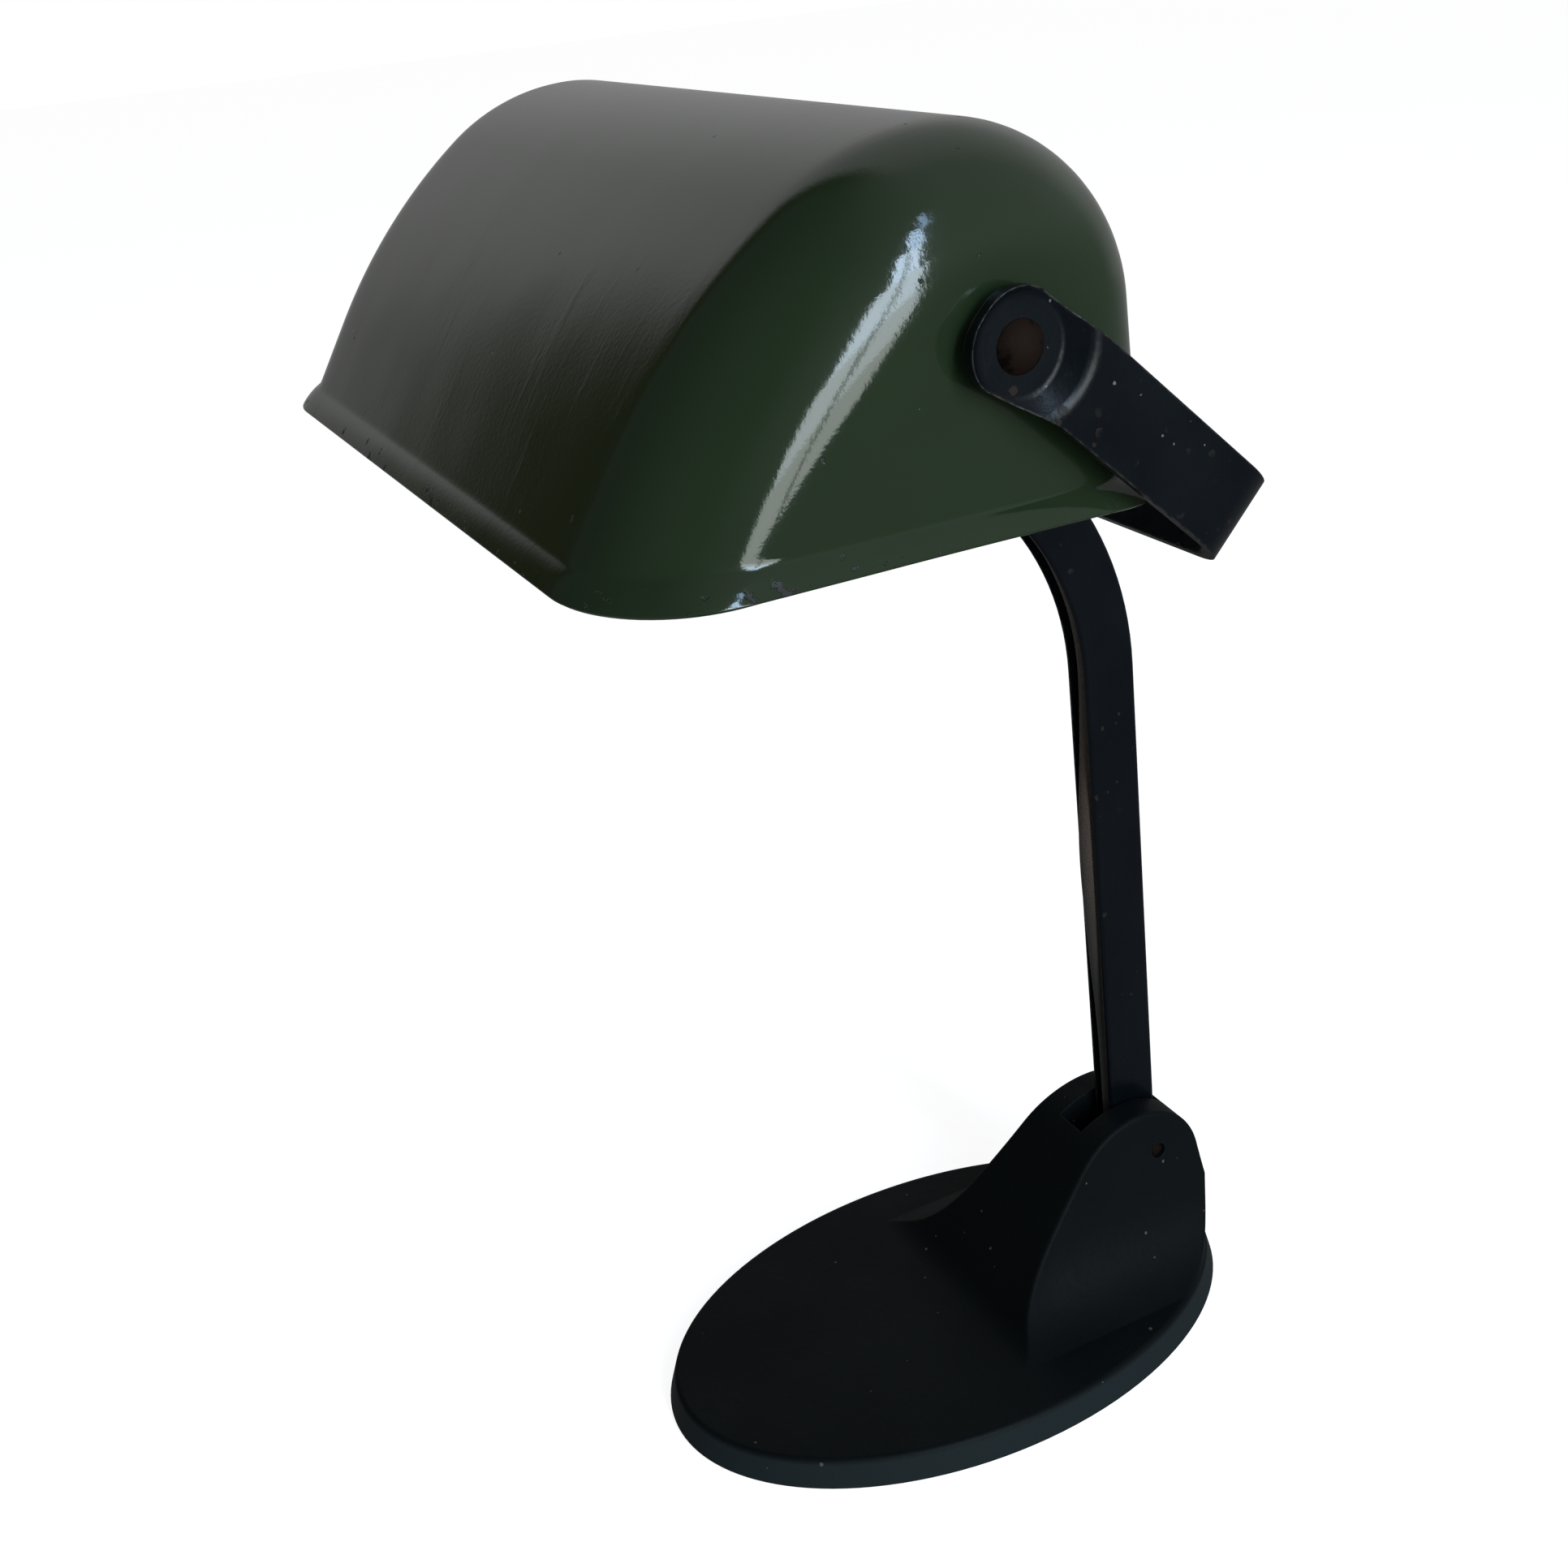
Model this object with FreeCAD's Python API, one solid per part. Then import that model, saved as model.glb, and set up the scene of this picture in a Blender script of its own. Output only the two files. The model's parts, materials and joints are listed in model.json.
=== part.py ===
"""Banker desk lamp: a cast foot, a tilting channel arm, a strap bail and an enamelled shade.

The origin is the middle of the oval foot, on the table. X is the long way of the
shade, the light falls towards -Y, and the tower of the foot stands at +Y.
All sizes are in millimetres and all angles in degrees.
"""

import FreeCAD, Part

import math
import os

# ---- foot casting -----------------------------------------------------------
FOOT_LENGTH = 170.0
FOOT_WIDTH = 106.5
FOOT_TOP = 8.8
FOOT_TAPER = 2.2
FOOT_EDGE_RADIUS = 1.5
FOOT_SKIRT = 5.5
FOOT_SKIN = 4.0
FELT_THICKNESS = 1.0
FELT_INSET = 1.5

# ---- tower of the casting ---------------------------------------------------
TOWER_SLOPE = 49.0
TOWER_FOOT_RADIUS = 10.0
TOWER_BROW_RADIUS = 28.0
TOWER_BROW_START = 45.7
TOWER_BACK_RADIUS = 20.0
TOWER_BACK_TURN = 32.0
TOWER_CORNER_RADIUS = 17.0
TOWER_BACK_LEAN = 8.0
TOWER_REAR_INSET = 2.6
TOWER_TOP = 76.0
TOWER_TOP_HALF = 12.6
TOWER_TOP_NARROWING = 5.0
TOWER_WIDENING = [(43.0, 2.5), (32.0, 4.9), (22.0, 8.2), (14.0, 14.0), (10.4, 19.5), (8.4, 27.0)]
TOWER_SINK = 3.0
TOWER_EDGE_RADIUS = 1.2
TOWER_EDGE_START = 4.0
CAVITY_FRONT = 54.0
CAVITY_REAR = 11.0
CAVITY_TOP = 30.0
CAVITY_HALF = 11.0
CAVITY_RADIUS = 5.0
SLOT_WIDTH = 10.0
SLOT_FRONT = 19.3
SLOT_CLEARANCE = 0.35
OVERCUT = 1.0

# ---- arm --------------------------------------------------------------------
PIN_FROM_REAR = 22.7
PIN_Y = FOOT_LENGTH / 2 - PIN_FROM_REAR
PIN_Z = 42.9
TOWER_REACH = 57.8
TOWER_FRONT = PIN_Y - TOWER_REACH
PIN_DIAMETER = 4.5
PIN_SINK = 1.2
RUNNING_CLEARANCE = 0.05
ARM_WIDTH = 8.5
ARM_DEPTH = 14.9
ARM_SHEET = 1.3
ARM_LEAN = 3.3
ARM_BEND_RADIUS = 82.0
ARM_EDGE_RADIUS = 1.2
EAR_REACH = 11.0
EAR_CORNER = 3.0
EAR_MARGIN = 1.0
WASHER_DIAMETER = 12.0

# ---- bail -------------------------------------------------------------------
PIVOT_REACH = 101.9
PIVOT_Y = PIN_Y - PIVOT_REACH
PIVOT_Z = 302.3
BAIL_ANGLE = 42.0
BAIL_REACH = 61.9
BAIL_RISE = 1.6
STRAP_WIDTH = 15.8
STRAP_SHEET = 2.0
STRAP_BEND = 9.0
EYE_HALF = 9.0
EYE_REACH = 9.1
EYE_CORNER = 7.6
JOGGLE_START = 8.6
JOGGLE_END = 12.8
JOGGLE_BEND = 2.5
PRESSED_END = 15.0
LEG_CLEARANCE = 2.4

# ---- shade ------------------------------------------------------------------
SHADE_HALF = 102.4
SHADE_SHEET = 1.2
SHADE_CORNER = 23.5
CREST_Y = 1.5
CREST_Z = 32.6
CREST_RADIUS = 49.4
CREST_TURN = 36.5
FRONT_RADIUS = 132.0
FRONT_SLOPE = 58.0
REAR_RADIUS = 34.2
REAR_SLOPE = 85.0
CREASE_Z = -23.4
RIM_Z = -31.5
RIM_FLARE = 3.1
RIM_FLARE_FRONT = 4.2
RIM_FLARE_REAR = 1.6
RIM_CORNER = 25.0
RIM_REAR_CORNER = 19.0

# ---- rivets and washers at the ends of the shade -----------------------------
RIVET_DIAMETER = 5.0
RIVET_HEAD = 9.0
RIVET_DOME = 2.4
RIVET_TAIL = 8.0
RIVET_TAIL_DOME = 1.6
END_WASHER_DIAMETER = 15.0
END_WASHER = 1.0
SPACER = 2.2
SEAT_GAP = 0.02

# ---- rivets of the arm and of the bracket ------------------------------------
SMALL_RIVET = 4.0
SMALL_HEAD = 7.0
SMALL_DOME = 1.8
SMALL_TAIL_DOME = 1.2
HEAD_GAP = 1.0

# ---- lampholder and its bracket ----------------------------------------------
BRACKET_FROM_END = 32.4
BRACKET_X = BRACKET_FROM_END - SHADE_HALF
BRACKET_SHEET = 1.5
BRACKET_TOP = -6.0
BRACKET_LOW = 18.0
BRACKET_GAP = 0.5
BRACKET_FOOT = 18.5
BRACKET_BEND = 2.0
BRACKET_RING = 11.0
BRACKET_WAIST = 30.0
BRACKET_HEEL = 44.0
NIPPLE_DIAMETER = 10.0
NIPPLE_BORE = 7.0
NIPPLE_BACK = 6.5
NIPPLE_FRONT = 9.0
NUT_ACROSS = 14.0
NUT_THICKNESS = 3.0
TOOTH_WASHER = 1.0
TOOTH_WASHER_DIAMETER = 16.0
CAP_NECK_DIAMETER = 18.0
CAP_NECK = 5.0
CAP_DIAMETER = 38.0
CAP_LENGTH = 24.0
CAP_WALL = 1.0
CAP_CROWN_SHIFT = 0.6
HOLDER_WALL = 0.8
HOLDER_OVERLAP = 5.0
HOLDER_LENGTH = 27.0
HOLDER_LIP = 3.0
INSERT_DIAMETER = 34.0
INSERT_START = 14.0
INSERT_FLOOR = 7.0
INSERT_LENGTH = 25.0
SLEEVE_BORE = 27.2
SLEEVE_WALL = 0.6
SLEEVE_SINK = 1.0
CONTACT_DIAMETER = 9.0
CONTACT_RISE = 2.5
CONTACT_SHEET = 0.6
CONTACT_TIP = 0.8
TERMINAL_SPACING = 18.0
TERMINAL_DIAMETER = 5.0
TERMINAL_LENGTH = 5.0

# ---- bulb --------------------------------------------------------------------
BULB_RADIUS = 27.5
BULB_LENGTH = 97.0
BULB_GLASS = 0.8
BULB_CAP_DIAMETER = 26.2
BULB_CAP_WALL = 0.4
BULB_CAP_LENGTH = 25.0
BULB_TIP = 3.0
BULB_NECK_RADIUS = 15.0
BULB_NECK_LENGTH = 10.0
BULB_SHOULDER = 135.0
NECK_SAG = (1.0, 1.5)
STEM_RADIUS = 4.0
STEM_FOOT = 4.0
STEM_FOOT_RADIUS = 6.4
STEM_NECK_RADIUS = 2.8
STEM_TIP = 2.0
STEM_TIP_RADIUS = 1.2
STEM_LENGTH = 26.0
FILAMENT_RADIUS = 9.0
FILAMENT_WIRE = 0.6

# ---- lead --------------------------------------------------------------------
LEAD_DIAMETER = 4.6
BUSHING_DIAMETER = 8.0
BUSHING_FLANGE = 11.0
BUSHING_FLANGE_THICKNESS = 2.0
BUSHING_REACH = 2.0
SPOT_FACE_GAP = 0.5
SPOT_FACE_DEPTH = 2.0
BUSHING_Z = 15.0
LEAD_PIN_GAP = 0.2
LEAD_BORE_GAP = 0.1
CURVE_FULLNESS = 0.45
LEAD_BASE_STEPS = [(11.4, 0.0), (4.2, 4.2), (0.0, 11.4)]
LEAD_CHANNEL_STEPS = [(36.0, 4.75), (68.0, 6.6), (98.0, 7.6), (128.0, 4.6)]
LEAD_BEND_STEPS = [(8.0, 3.0), (26.0, 3.2)]
LEAD_BAIL_STEPS = [(0.0, 29.0, 2.6), (0.0, 18.2, 5.6), (-0.8, 8.2, 10.4), (-7.6, 0.7, 13.6),
                   (-20.0, -2.7, 14.8)]
LEAD_BRACKET_STEPS = [(28.0, -3.8, 16.0), (4.0, -5.3, 20.8), (-14.0, -15.3, 20.0)]
LEAD_HOLDER_STEPS = [(-23.0, 31.0, 14.0), (-25.5, 17.0, 7.8), (-20.5, 5.2, 2.4),
                     (-11.0, 0.0, 0.0), (0.0, 0.0, 0.0)]
BEND_LOW = 35.0
BEND_REACH = 12.0


class Sketch:
    """A plane with its own two axes, in which outlines are drawn."""

    def __init__(self, origin, across, up):
        self.origin = FreeCAD.Vector(*origin)
        self.across = FreeCAD.Vector(*across)
        self.up = FreeCAD.Vector(*up)

    def at(self, point):
        return self.origin + self.across * point[0] + self.up * point[1]

    def line(self, start, end):
        return Part.LineSegment(self.at(start), self.at(end)).toShape()

    def arc(self, start, middle, end):
        return Part.Arc(self.at(start), self.at(middle), self.at(end)).toShape()

    def swing(self, centre, radius, start, end):
        """Arc about a centre between two directions, anticlockwise from `across`."""
        turns = (start, (start + end) / 2, end)
        return self.arc(*(polar(centre, radius, turn) for turn in turns))

    def face(self, edges):
        return Part.Face(Part.Wire(edges))

    def polygon(self, points):
        closed = list(points) + [points[0]]
        return self.face([self.line(a, b) for a, b in zip(closed, closed[1:])])

    def disc(self, centre, radius):
        normal = self.across.cross(self.up)
        return Part.Face(Part.Wire(Part.makeCircle(radius, self.at(centre), normal)))


def polar(centre, radius, angle):
    turn = math.radians(angle)
    return (centre[0] + radius * math.cos(turn), centre[1] + radius * math.sin(turn))


def cylinder_x(radius, start, end, y=PIVOT_Y, z=PIVOT_Z):
    """Cylinder along X between two stations."""
    return Part.makeCylinder(
        radius, end - start, FreeCAD.Vector(start, y, z), FreeCAD.Vector(1, 0, 0))


def revolve_x(outline):
    """Solid of revolution about the shade's pivot axis from points (station, radius)."""
    return AXIAL.polygon(outline).revolve(AXIAL.origin, AXIAL.across, 360)


def solid(shape):
    """The one solid of a shape, with its needless seams removed."""
    clean = shape.removeSplitter()
    return clean.Solids[0] if len(clean.Solids) == 1 else clean


SIDE = Sketch((0, 0, 0), (0, 1, 0), (0, 0, 1))
PIVOT = Sketch((0, PIVOT_Y, PIVOT_Z), (0, 1, 0), (0, 0, 1))
AXIAL = Sketch((0, PIVOT_Y, PIVOT_Z), (1, 0, 0), (0, 0, 1))
LEG_DIRECTION = (math.cos(math.radians(BAIL_ANGLE)), -math.sin(math.radians(BAIL_ANGLE)))
BAIL_SIDE = Sketch(
    (0, PIVOT_Y - BAIL_RISE * LEG_DIRECTION[1], PIVOT_Z + BAIL_RISE * LEG_DIRECTION[0]),
    (0, LEG_DIRECTION[0], LEG_DIRECTION[1]),
    (0, LEG_DIRECTION[1], -LEG_DIRECTION[0]))


# ---- strips that follow a bent path ------------------------------------------

def strip_side(sketch, points, radii, shift):
    """Edges of a path moved sideways by `shift`, with an arc at each inner point."""
    edges = []
    here = None
    for index, corner in enumerate(points):
        last = index == len(points) - 1
        ahead = unit(corner, points[index + 1]) if not last else unit(points[index - 1], corner)
        back = unit(points[index - 1], corner) if index else ahead
        turn = math.atan2(back[0] * ahead[1] - back[1] * ahead[0],
                          back[0] * ahead[0] + back[1] * ahead[1])
        if abs(turn) < 1e-9:
            there = (corner[0] - ahead[1] * shift, corner[1] + ahead[0] * shift)
            if here:
                edges.append(sketch.line(here, there))
            here = there
            continue
        side = math.copysign(1.0, turn)
        radius = radii[index - 1]
        tangent = radius * math.tan(abs(turn) / 2)
        start = (corner[0] - back[0] * tangent, corner[1] - back[1] * tangent)
        centre = (start[0] - back[1] * side * radius, start[1] + back[0] * side * radius)
        first = math.degrees(math.atan2(-back[0] * side, back[1] * side))
        reach = radius - side * shift
        begin = polar(centre, reach, first)
        edges.append(sketch.line(here, begin))
        edges.append(sketch.swing(centre, reach, first, first + math.degrees(turn)))
        here = polar(centre, reach, first + math.degrees(turn))
    return edges, here


def unit(start, end):
    across, up = end[0] - start[0], end[1] - start[1]
    length = math.hypot(across, up)
    return (across / length, up / length)


def strip_face(sketch, points, radii, left, right):
    """Face of a strip that reaches `left` and `right` of a path."""
    left_edges, left_end = strip_side(sketch, points, radii, left)
    right_edges, right_end = strip_side(sketch, points, radii, -right)
    first, second = points[0], points[1]
    ahead = unit(first, second)
    left_start = (first[0] - ahead[1] * left, first[1] + ahead[0] * left)
    right_start = (first[0] + ahead[1] * right, first[1] - ahead[0] * right)
    ends = [sketch.line(left_start, right_start), sketch.line(left_end, right_end)]
    return sketch.face(Part.__sortEdges__(left_edges + right_edges + ends))


# ---- foot --------------------------------------------------------------------

def oval(z, inset):
    """Oval outline of the foot at one height."""
    length = FOOT_LENGTH / 2 - inset
    width = FOOT_WIDTH / 2 - inset
    ellipse = Part.Ellipse(FreeCAD.Vector(0, length, z), FreeCAD.Vector(width, 0, z),
                           FreeCAD.Vector(0, 0, z))
    return Part.Wire(ellipse.toShape())


def oval_block(low, high, inset_low, inset_high):
    return Part.makeLoft([oval(low, inset_low), oval(high, inset_high)], True, True)


def tower_side():
    """Side view of the tower: swoop, brow, rounded back and leaning rear."""
    slope = math.radians(TOWER_SLOPE)
    rise = TOWER_BROW_START - FOOT_TOP
    brow = (TOWER_FRONT + rise / math.tan(slope), TOWER_BROW_START)
    tangent = TOWER_FOOT_RADIUS * math.tan(slope / 2)
    toe = (TOWER_FRONT - tangent, FOOT_TOP)
    heel = (TOWER_FRONT + tangent * math.cos(slope), FOOT_TOP + tangent * math.sin(slope))
    brow_centre = polar(brow, TOWER_BROW_RADIUS, TOWER_SLOPE - 90)
    crest = polar(brow_centre, TOWER_BROW_RADIUS, 90)
    back_centre = (crest[0], crest[1] - TOWER_BACK_RADIUS)
    shoulder = polar(back_centre, TOWER_BACK_RADIUS, 90 - TOWER_BACK_TURN)
    corner_centre = polar(shoulder, -TOWER_CORNER_RADIUS, 90 - TOWER_BACK_TURN)
    rear = polar(corner_centre, TOWER_CORNER_RADIUS, TOWER_BACK_LEAN)
    floor = FOOT_TOP - TOWER_SINK
    drop = (rear[1] - floor) * math.tan(math.radians(TOWER_BACK_LEAN))
    low_rear = (rear[0] + drop, floor)
    low_front = (toe[0], floor)
    return SIDE.face([
        SIDE.line(low_front, toe),
        SIDE.swing((toe[0], toe[1] + TOWER_FOOT_RADIUS), TOWER_FOOT_RADIUS,
                   -90, TOWER_SLOPE - 90),
        SIDE.line(heel, brow),
        SIDE.swing(brow_centre, TOWER_BROW_RADIUS, 90 + TOWER_SLOPE, 90),
        SIDE.swing(back_centre, TOWER_BACK_RADIUS, 90, 90 - TOWER_BACK_TURN),
        SIDE.swing(corner_centre, TOWER_CORNER_RADIUS, 90 - TOWER_BACK_TURN,
                   TOWER_BACK_LEAN),
        SIDE.line(rear, low_rear),
        SIDE.line(low_rear, low_front)])


def tower_front():
    """Front view of the tower: narrow at the top and flaring into the foot."""
    sketch = Sketch((0, -FOOT_LENGTH, 0), (1, 0, 0), (0, 0, 1))
    narrow = TOWER_TOP_HALF - TOWER_TOP_NARROWING
    side = [(narrow, TOWER_TOP)]
    side += [(TOWER_TOP_HALF + wide, height) for height, wide in TOWER_WIDENING]
    floor = FOOT_TOP - TOWER_SINK
    edges = []
    for way in (1, -1):
        curve = Part.BSplineCurve()
        curve.interpolate([sketch.at((way * half, height)) for half, height in side])
        edges.append(curve.toShape())
        edges.append(sketch.line((way * side[-1][0], side[-1][1]), (way * side[-1][0], floor)))
    edges.append(sketch.line((narrow, TOWER_TOP), (-narrow, TOWER_TOP)))
    edges.append(sketch.line((side[-1][0], floor), (-side[-1][0], floor)))
    return sketch.face(Part.__sortEdges__(edges))


def tower():
    reach = FreeCAD.Vector(FOOT_WIDTH, 0, 0)
    side = tower_side()
    side.translate(reach * -0.5)
    block = side.extrude(reach)
    block = block.common(tower_front().extrude(FreeCAD.Vector(0, 2 * FOOT_LENGTH, 0)))
    rear = oval_block(0, TOWER_TOP, TOWER_REAR_INSET, TOWER_REAR_INSET)
    block = block.common(rear).removeSplitter()
    return block.makeFillet(TOWER_EDGE_RADIUS, flank_edges(block))


def flank_edges(block):
    """Edges between the flanks of the tower and its swoop, top and rear."""
    low = FOOT_TOP + TOWER_EDGE_START
    middles = [(edge, edge.valueAt((edge.FirstParameter + edge.LastParameter) / 2))
               for edge in block.Edges]
    return [edge for edge, middle in middles
            if abs(middle.x) > TOWER_TOP_HALF - TOWER_EDGE_RADIUS and middle.z > low]


def cavity():
    """Hollow inside the tower, open below."""
    block = Part.makeBox(2 * CAVITY_HALF, CAVITY_FRONT - CAVITY_REAR, CAVITY_TOP,
                         FreeCAD.Vector(-CAVITY_HALF, FOOT_LENGTH / 2 - CAVITY_FRONT, 0))
    upright = [edge for edge in block.Edges
               if abs(edge.BoundBox.ZLength - CAVITY_TOP) < 1e-6]
    return block.makeFillet(CAVITY_RADIUS, upright)


def cavity_rear():
    return FOOT_LENGTH / 2 - CAVITY_REAR


def slot_rear():
    return PIN_Y + ARM_DEPTH / 2 + SLOT_CLEARANCE


def base_casting():
    plate = oval_block(FELT_THICKNESS, FOOT_TOP, 0, FOOT_TAPER)
    rim = [edge for edge in plate.Edges
           if edge.BoundBox.ZMin > FOOT_TOP - 1e-6]
    plate = plate.makeFillet(FOOT_EDGE_RADIUS, rim)
    body = plate.fuse(tower())
    recess = oval_block(0, FOOT_TOP - FOOT_SKIN, FOOT_SKIRT, FOOT_SKIRT)
    slot_front = PIN_Y - SLOT_FRONT
    slot = Part.makeBox(SLOT_WIDTH, slot_rear() - slot_front, 3 * PIN_Z,
                        FreeCAD.Vector(-SLOT_WIDTH / 2, slot_front, 0))
    pin = cylinder_x(PIN_DIAMETER / 2, -FOOT_WIDTH / 2, FOOT_WIDTH / 2, PIN_Y, PIN_Z)
    inlet = Part.makeCylinder(BUSHING_DIAMETER / 2, FOOT_LENGTH,
                              FreeCAD.Vector(0, cavity_rear() - OVERCUT, BUSHING_Z),
                              FreeCAD.Vector(0, 1, 0))
    spot = Part.makeCylinder(BUSHING_FLANGE / 2 + SPOT_FACE_GAP, FOOT_LENGTH,
                             FreeCAD.Vector(0, spot_face(), BUSHING_Z),
                             FreeCAD.Vector(0, 1, 0))
    for cut in (recess, cavity(), slot, pin, inlet, spot):
        body = body.cut(cut)
    return solid(body)


def spot_face():
    """Flat seat of the lead bushing in the rear of the tower."""
    return FOOT_LENGTH / 2 - TOWER_REAR_INSET - SPOT_FACE_DEPTH


def base_felt():
    return solid(oval_block(0, FELT_THICKNESS, FELT_INSET, FELT_INSET))


def inlet_bushing():
    behind = FreeCAD.Vector(0, 1, 0)
    start = cavity_rear() - BUSHING_REACH
    flange = Part.makeCylinder(BUSHING_FLANGE / 2, BUSHING_FLANGE_THICKNESS,
                               FreeCAD.Vector(0, spot_face(), BUSHING_Z), behind)
    neck = Part.makeCylinder(BUSHING_DIAMETER / 2, spot_face() - start,
                             FreeCAD.Vector(0, start, BUSHING_Z), behind)
    bore = Part.makeCylinder(LEAD_DIAMETER / 2 + LEAD_BORE_GAP, FOOT_LENGTH,
                             FreeCAD.Vector(0, start - OVERCUT, BUSHING_Z), behind)
    return solid(flange.fuse(neck).cut(bore))


def arm_pivot_pin():
    half = TOWER_TOP_HALF + TOWER_WIDENING[0][1] - PIN_SINK
    return cylinder_x(PIN_DIAMETER / 2, -half, half, PIN_Y, PIN_Z)


def slot_washer(way):
    inner = ARM_WIDTH / 2 + RUNNING_CLEARANCE
    outer = SLOT_WIDTH / 2 - RUNNING_CLEARANCE
    low, high = sorted((way * inner, way * outer))
    disc = cylinder_x(WASHER_DIAMETER / 2, low, high, PIN_Y, PIN_Z)
    return disc.cut(cylinder_x(PIN_DIAMETER / 2, low - 1, high + 1, PIN_Y, PIN_Z))


# ---- arm ---------------------------------------------------------------------

def arm_path():
    """Pin, knee and end of the arm's middle line; it ends square on the bail."""
    end = BAIL_SIDE.at((BAIL_REACH, 0))
    lean = math.radians(ARM_LEAN)
    up = (-math.sin(lean), math.cos(lean))
    back = (LEG_DIRECTION[0], LEG_DIRECTION[1])
    gap = (end.y - PIN_Y, end.z - PIN_Z)
    run = (gap[0] * back[1] - gap[1] * back[0]) / (up[0] * back[1] - up[1] * back[0])
    knee = (PIN_Y + up[0] * run, PIN_Z + up[1] * run)
    return [(PIN_Y, PIN_Z), knee, (end.y, end.z)]


def arm_channel():
    """Pressed channel, open to the front, with its flanges turned out as ears at the top."""
    path = arm_path()
    half = ARM_DEPTH / 2
    face = strip_face(SIDE, path, [ARM_BEND_RADIUS], half, half)
    body = face.extrude(FreeCAD.Vector(ARM_WIDTH, 0, 0))
    foot = cylinder_x(half, 0, ARM_WIDTH, PIN_Y, PIN_Z)
    body = body.fuse(foot).removeSplitter()
    back = [edge for edge in body.Edges
            if edge.BoundBox.XLength < 1e-6 and behind_path(edge, path)]
    body = body.makeFillet(ARM_EDGE_RADIUS, back)
    body.translate(FreeCAD.Vector(-ARM_WIDTH / 2, 0, 0))
    inside_foot = unit(path[1], path[0])
    low = (PIN_Y + inside_foot[0] * ARM_DEPTH, PIN_Z + inside_foot[1] * ARM_DEPTH)
    top_way = unit(path[1], path[2])
    high = (path[2][0] + top_way[0] * ARM_SHEET, path[2][1] + top_way[1] * ARM_SHEET)
    hollow = strip_face(SIDE, [low, path[1], high], [ARM_BEND_RADIUS], ARM_DEPTH,
                        half - ARM_SHEET)
    room = hollow.extrude(FreeCAD.Vector(ARM_WIDTH - 2 * ARM_SHEET, 0, 0))
    room.translate(FreeCAD.Vector(ARM_SHEET - ARM_WIDTH / 2, 0, 0))
    body = body.cut(room)
    for way in (1, -1):
        body = body.fuse(arm_ear(way))
    bore = cylinder_x(PIN_DIAMETER / 2 + RUNNING_CLEARANCE, -ARM_WIDTH, ARM_WIDTH,
                      PIN_Y, PIN_Z)
    return solid(body.cut(bore))


def behind_path(edge, path):
    """Whether a long edge of the arm lies on its closed side, behind the middle line."""
    middle = edge.valueAt((edge.FirstParameter + edge.LastParameter) / 2)
    runs = [(path[0], path[1]), (path[1], path[2])]
    offsets = []
    for start, end in runs:
        ahead = unit(start, end)
        offsets.append((middle.y - start[0]) * ahead[1] - (middle.z - start[1]) * ahead[0])
    return max(offsets) > ARM_SHEET


def ear_rivet_x():
    return ARM_WIDTH / 2 + EAR_REACH - SMALL_HEAD / 2 - EAR_MARGIN


def arm_ear(way):
    """Flange end turned outwards onto the bail, with its rivet hole."""
    inner = ARM_WIDTH / 2 - ARM_SHEET
    outer = ARM_WIDTH / 2 + EAR_REACH
    origin = BAIL_SIDE.at((BAIL_REACH, 0))
    sketch = Sketch(tuple(origin), (way, 0, 0), tuple(BAIL_SIDE.up))
    half = ARM_DEPTH / 2
    square = sketch.polygon([(inner, -half), (outer, -half), (outer, half), (inner, half)])
    plate = square.extrude(BAIL_SIDE.across * ARM_SHEET)
    corners = [edge for edge in plate.Edges
               if abs(edge.BoundBox.XMin - way * outer) < 1e-6
               and edge.BoundBox.XLength < 1e-6 and abs(edge.Length - ARM_SHEET) < 1e-6]
    plate = plate.makeFillet(EAR_CORNER, corners)
    hole = Part.makeCylinder(SMALL_RIVET / 2, 4 * ARM_SHEET,
                             sketch.at((ear_rivet_x(), 0)) - BAIL_SIDE.across * ARM_SHEET,
                             BAIL_SIDE.across)
    return plate.cut(hole)


# ---- bail --------------------------------------------------------------------

def eye_inner():
    """Station of the eye's inner face, outside the shade's end and its washer."""
    return SHADE_HALF + SPACER + 2 * SEAT_GAP


def leg_inner():
    return SHADE_HALF + RIM_FLARE + LEG_CLEARANCE


def eye_outline():
    """Plan of the pressed end: a rounded eye that tapers into the strap."""
    side = STRAP_WIDTH / 2
    corner = EYE_CORNER - EYE_REACH
    across = EYE_HALF - EYE_CORNER
    low = BAIL_RISE
    return BAIL_SIDE.face([
        BAIL_SIDE.line((PRESSED_END, -side), (JOGGLE_END, -side)),
        BAIL_SIDE.line((JOGGLE_END, -side), (corner, low - across - EYE_CORNER)),
        BAIL_SIDE.swing((corner, low - across), EYE_CORNER, -90, -180),
        BAIL_SIDE.line((-EYE_REACH, low - across), (-EYE_REACH, low + across)),
        BAIL_SIDE.swing((corner, low + across), EYE_CORNER, 180, 90),
        BAIL_SIDE.line((corner, low + across + EYE_CORNER), (JOGGLE_END, side)),
        BAIL_SIDE.line((JOGGLE_END, side), (PRESSED_END, side)),
        BAIL_SIDE.line((PRESSED_END, side), (PRESSED_END, -side))])


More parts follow.
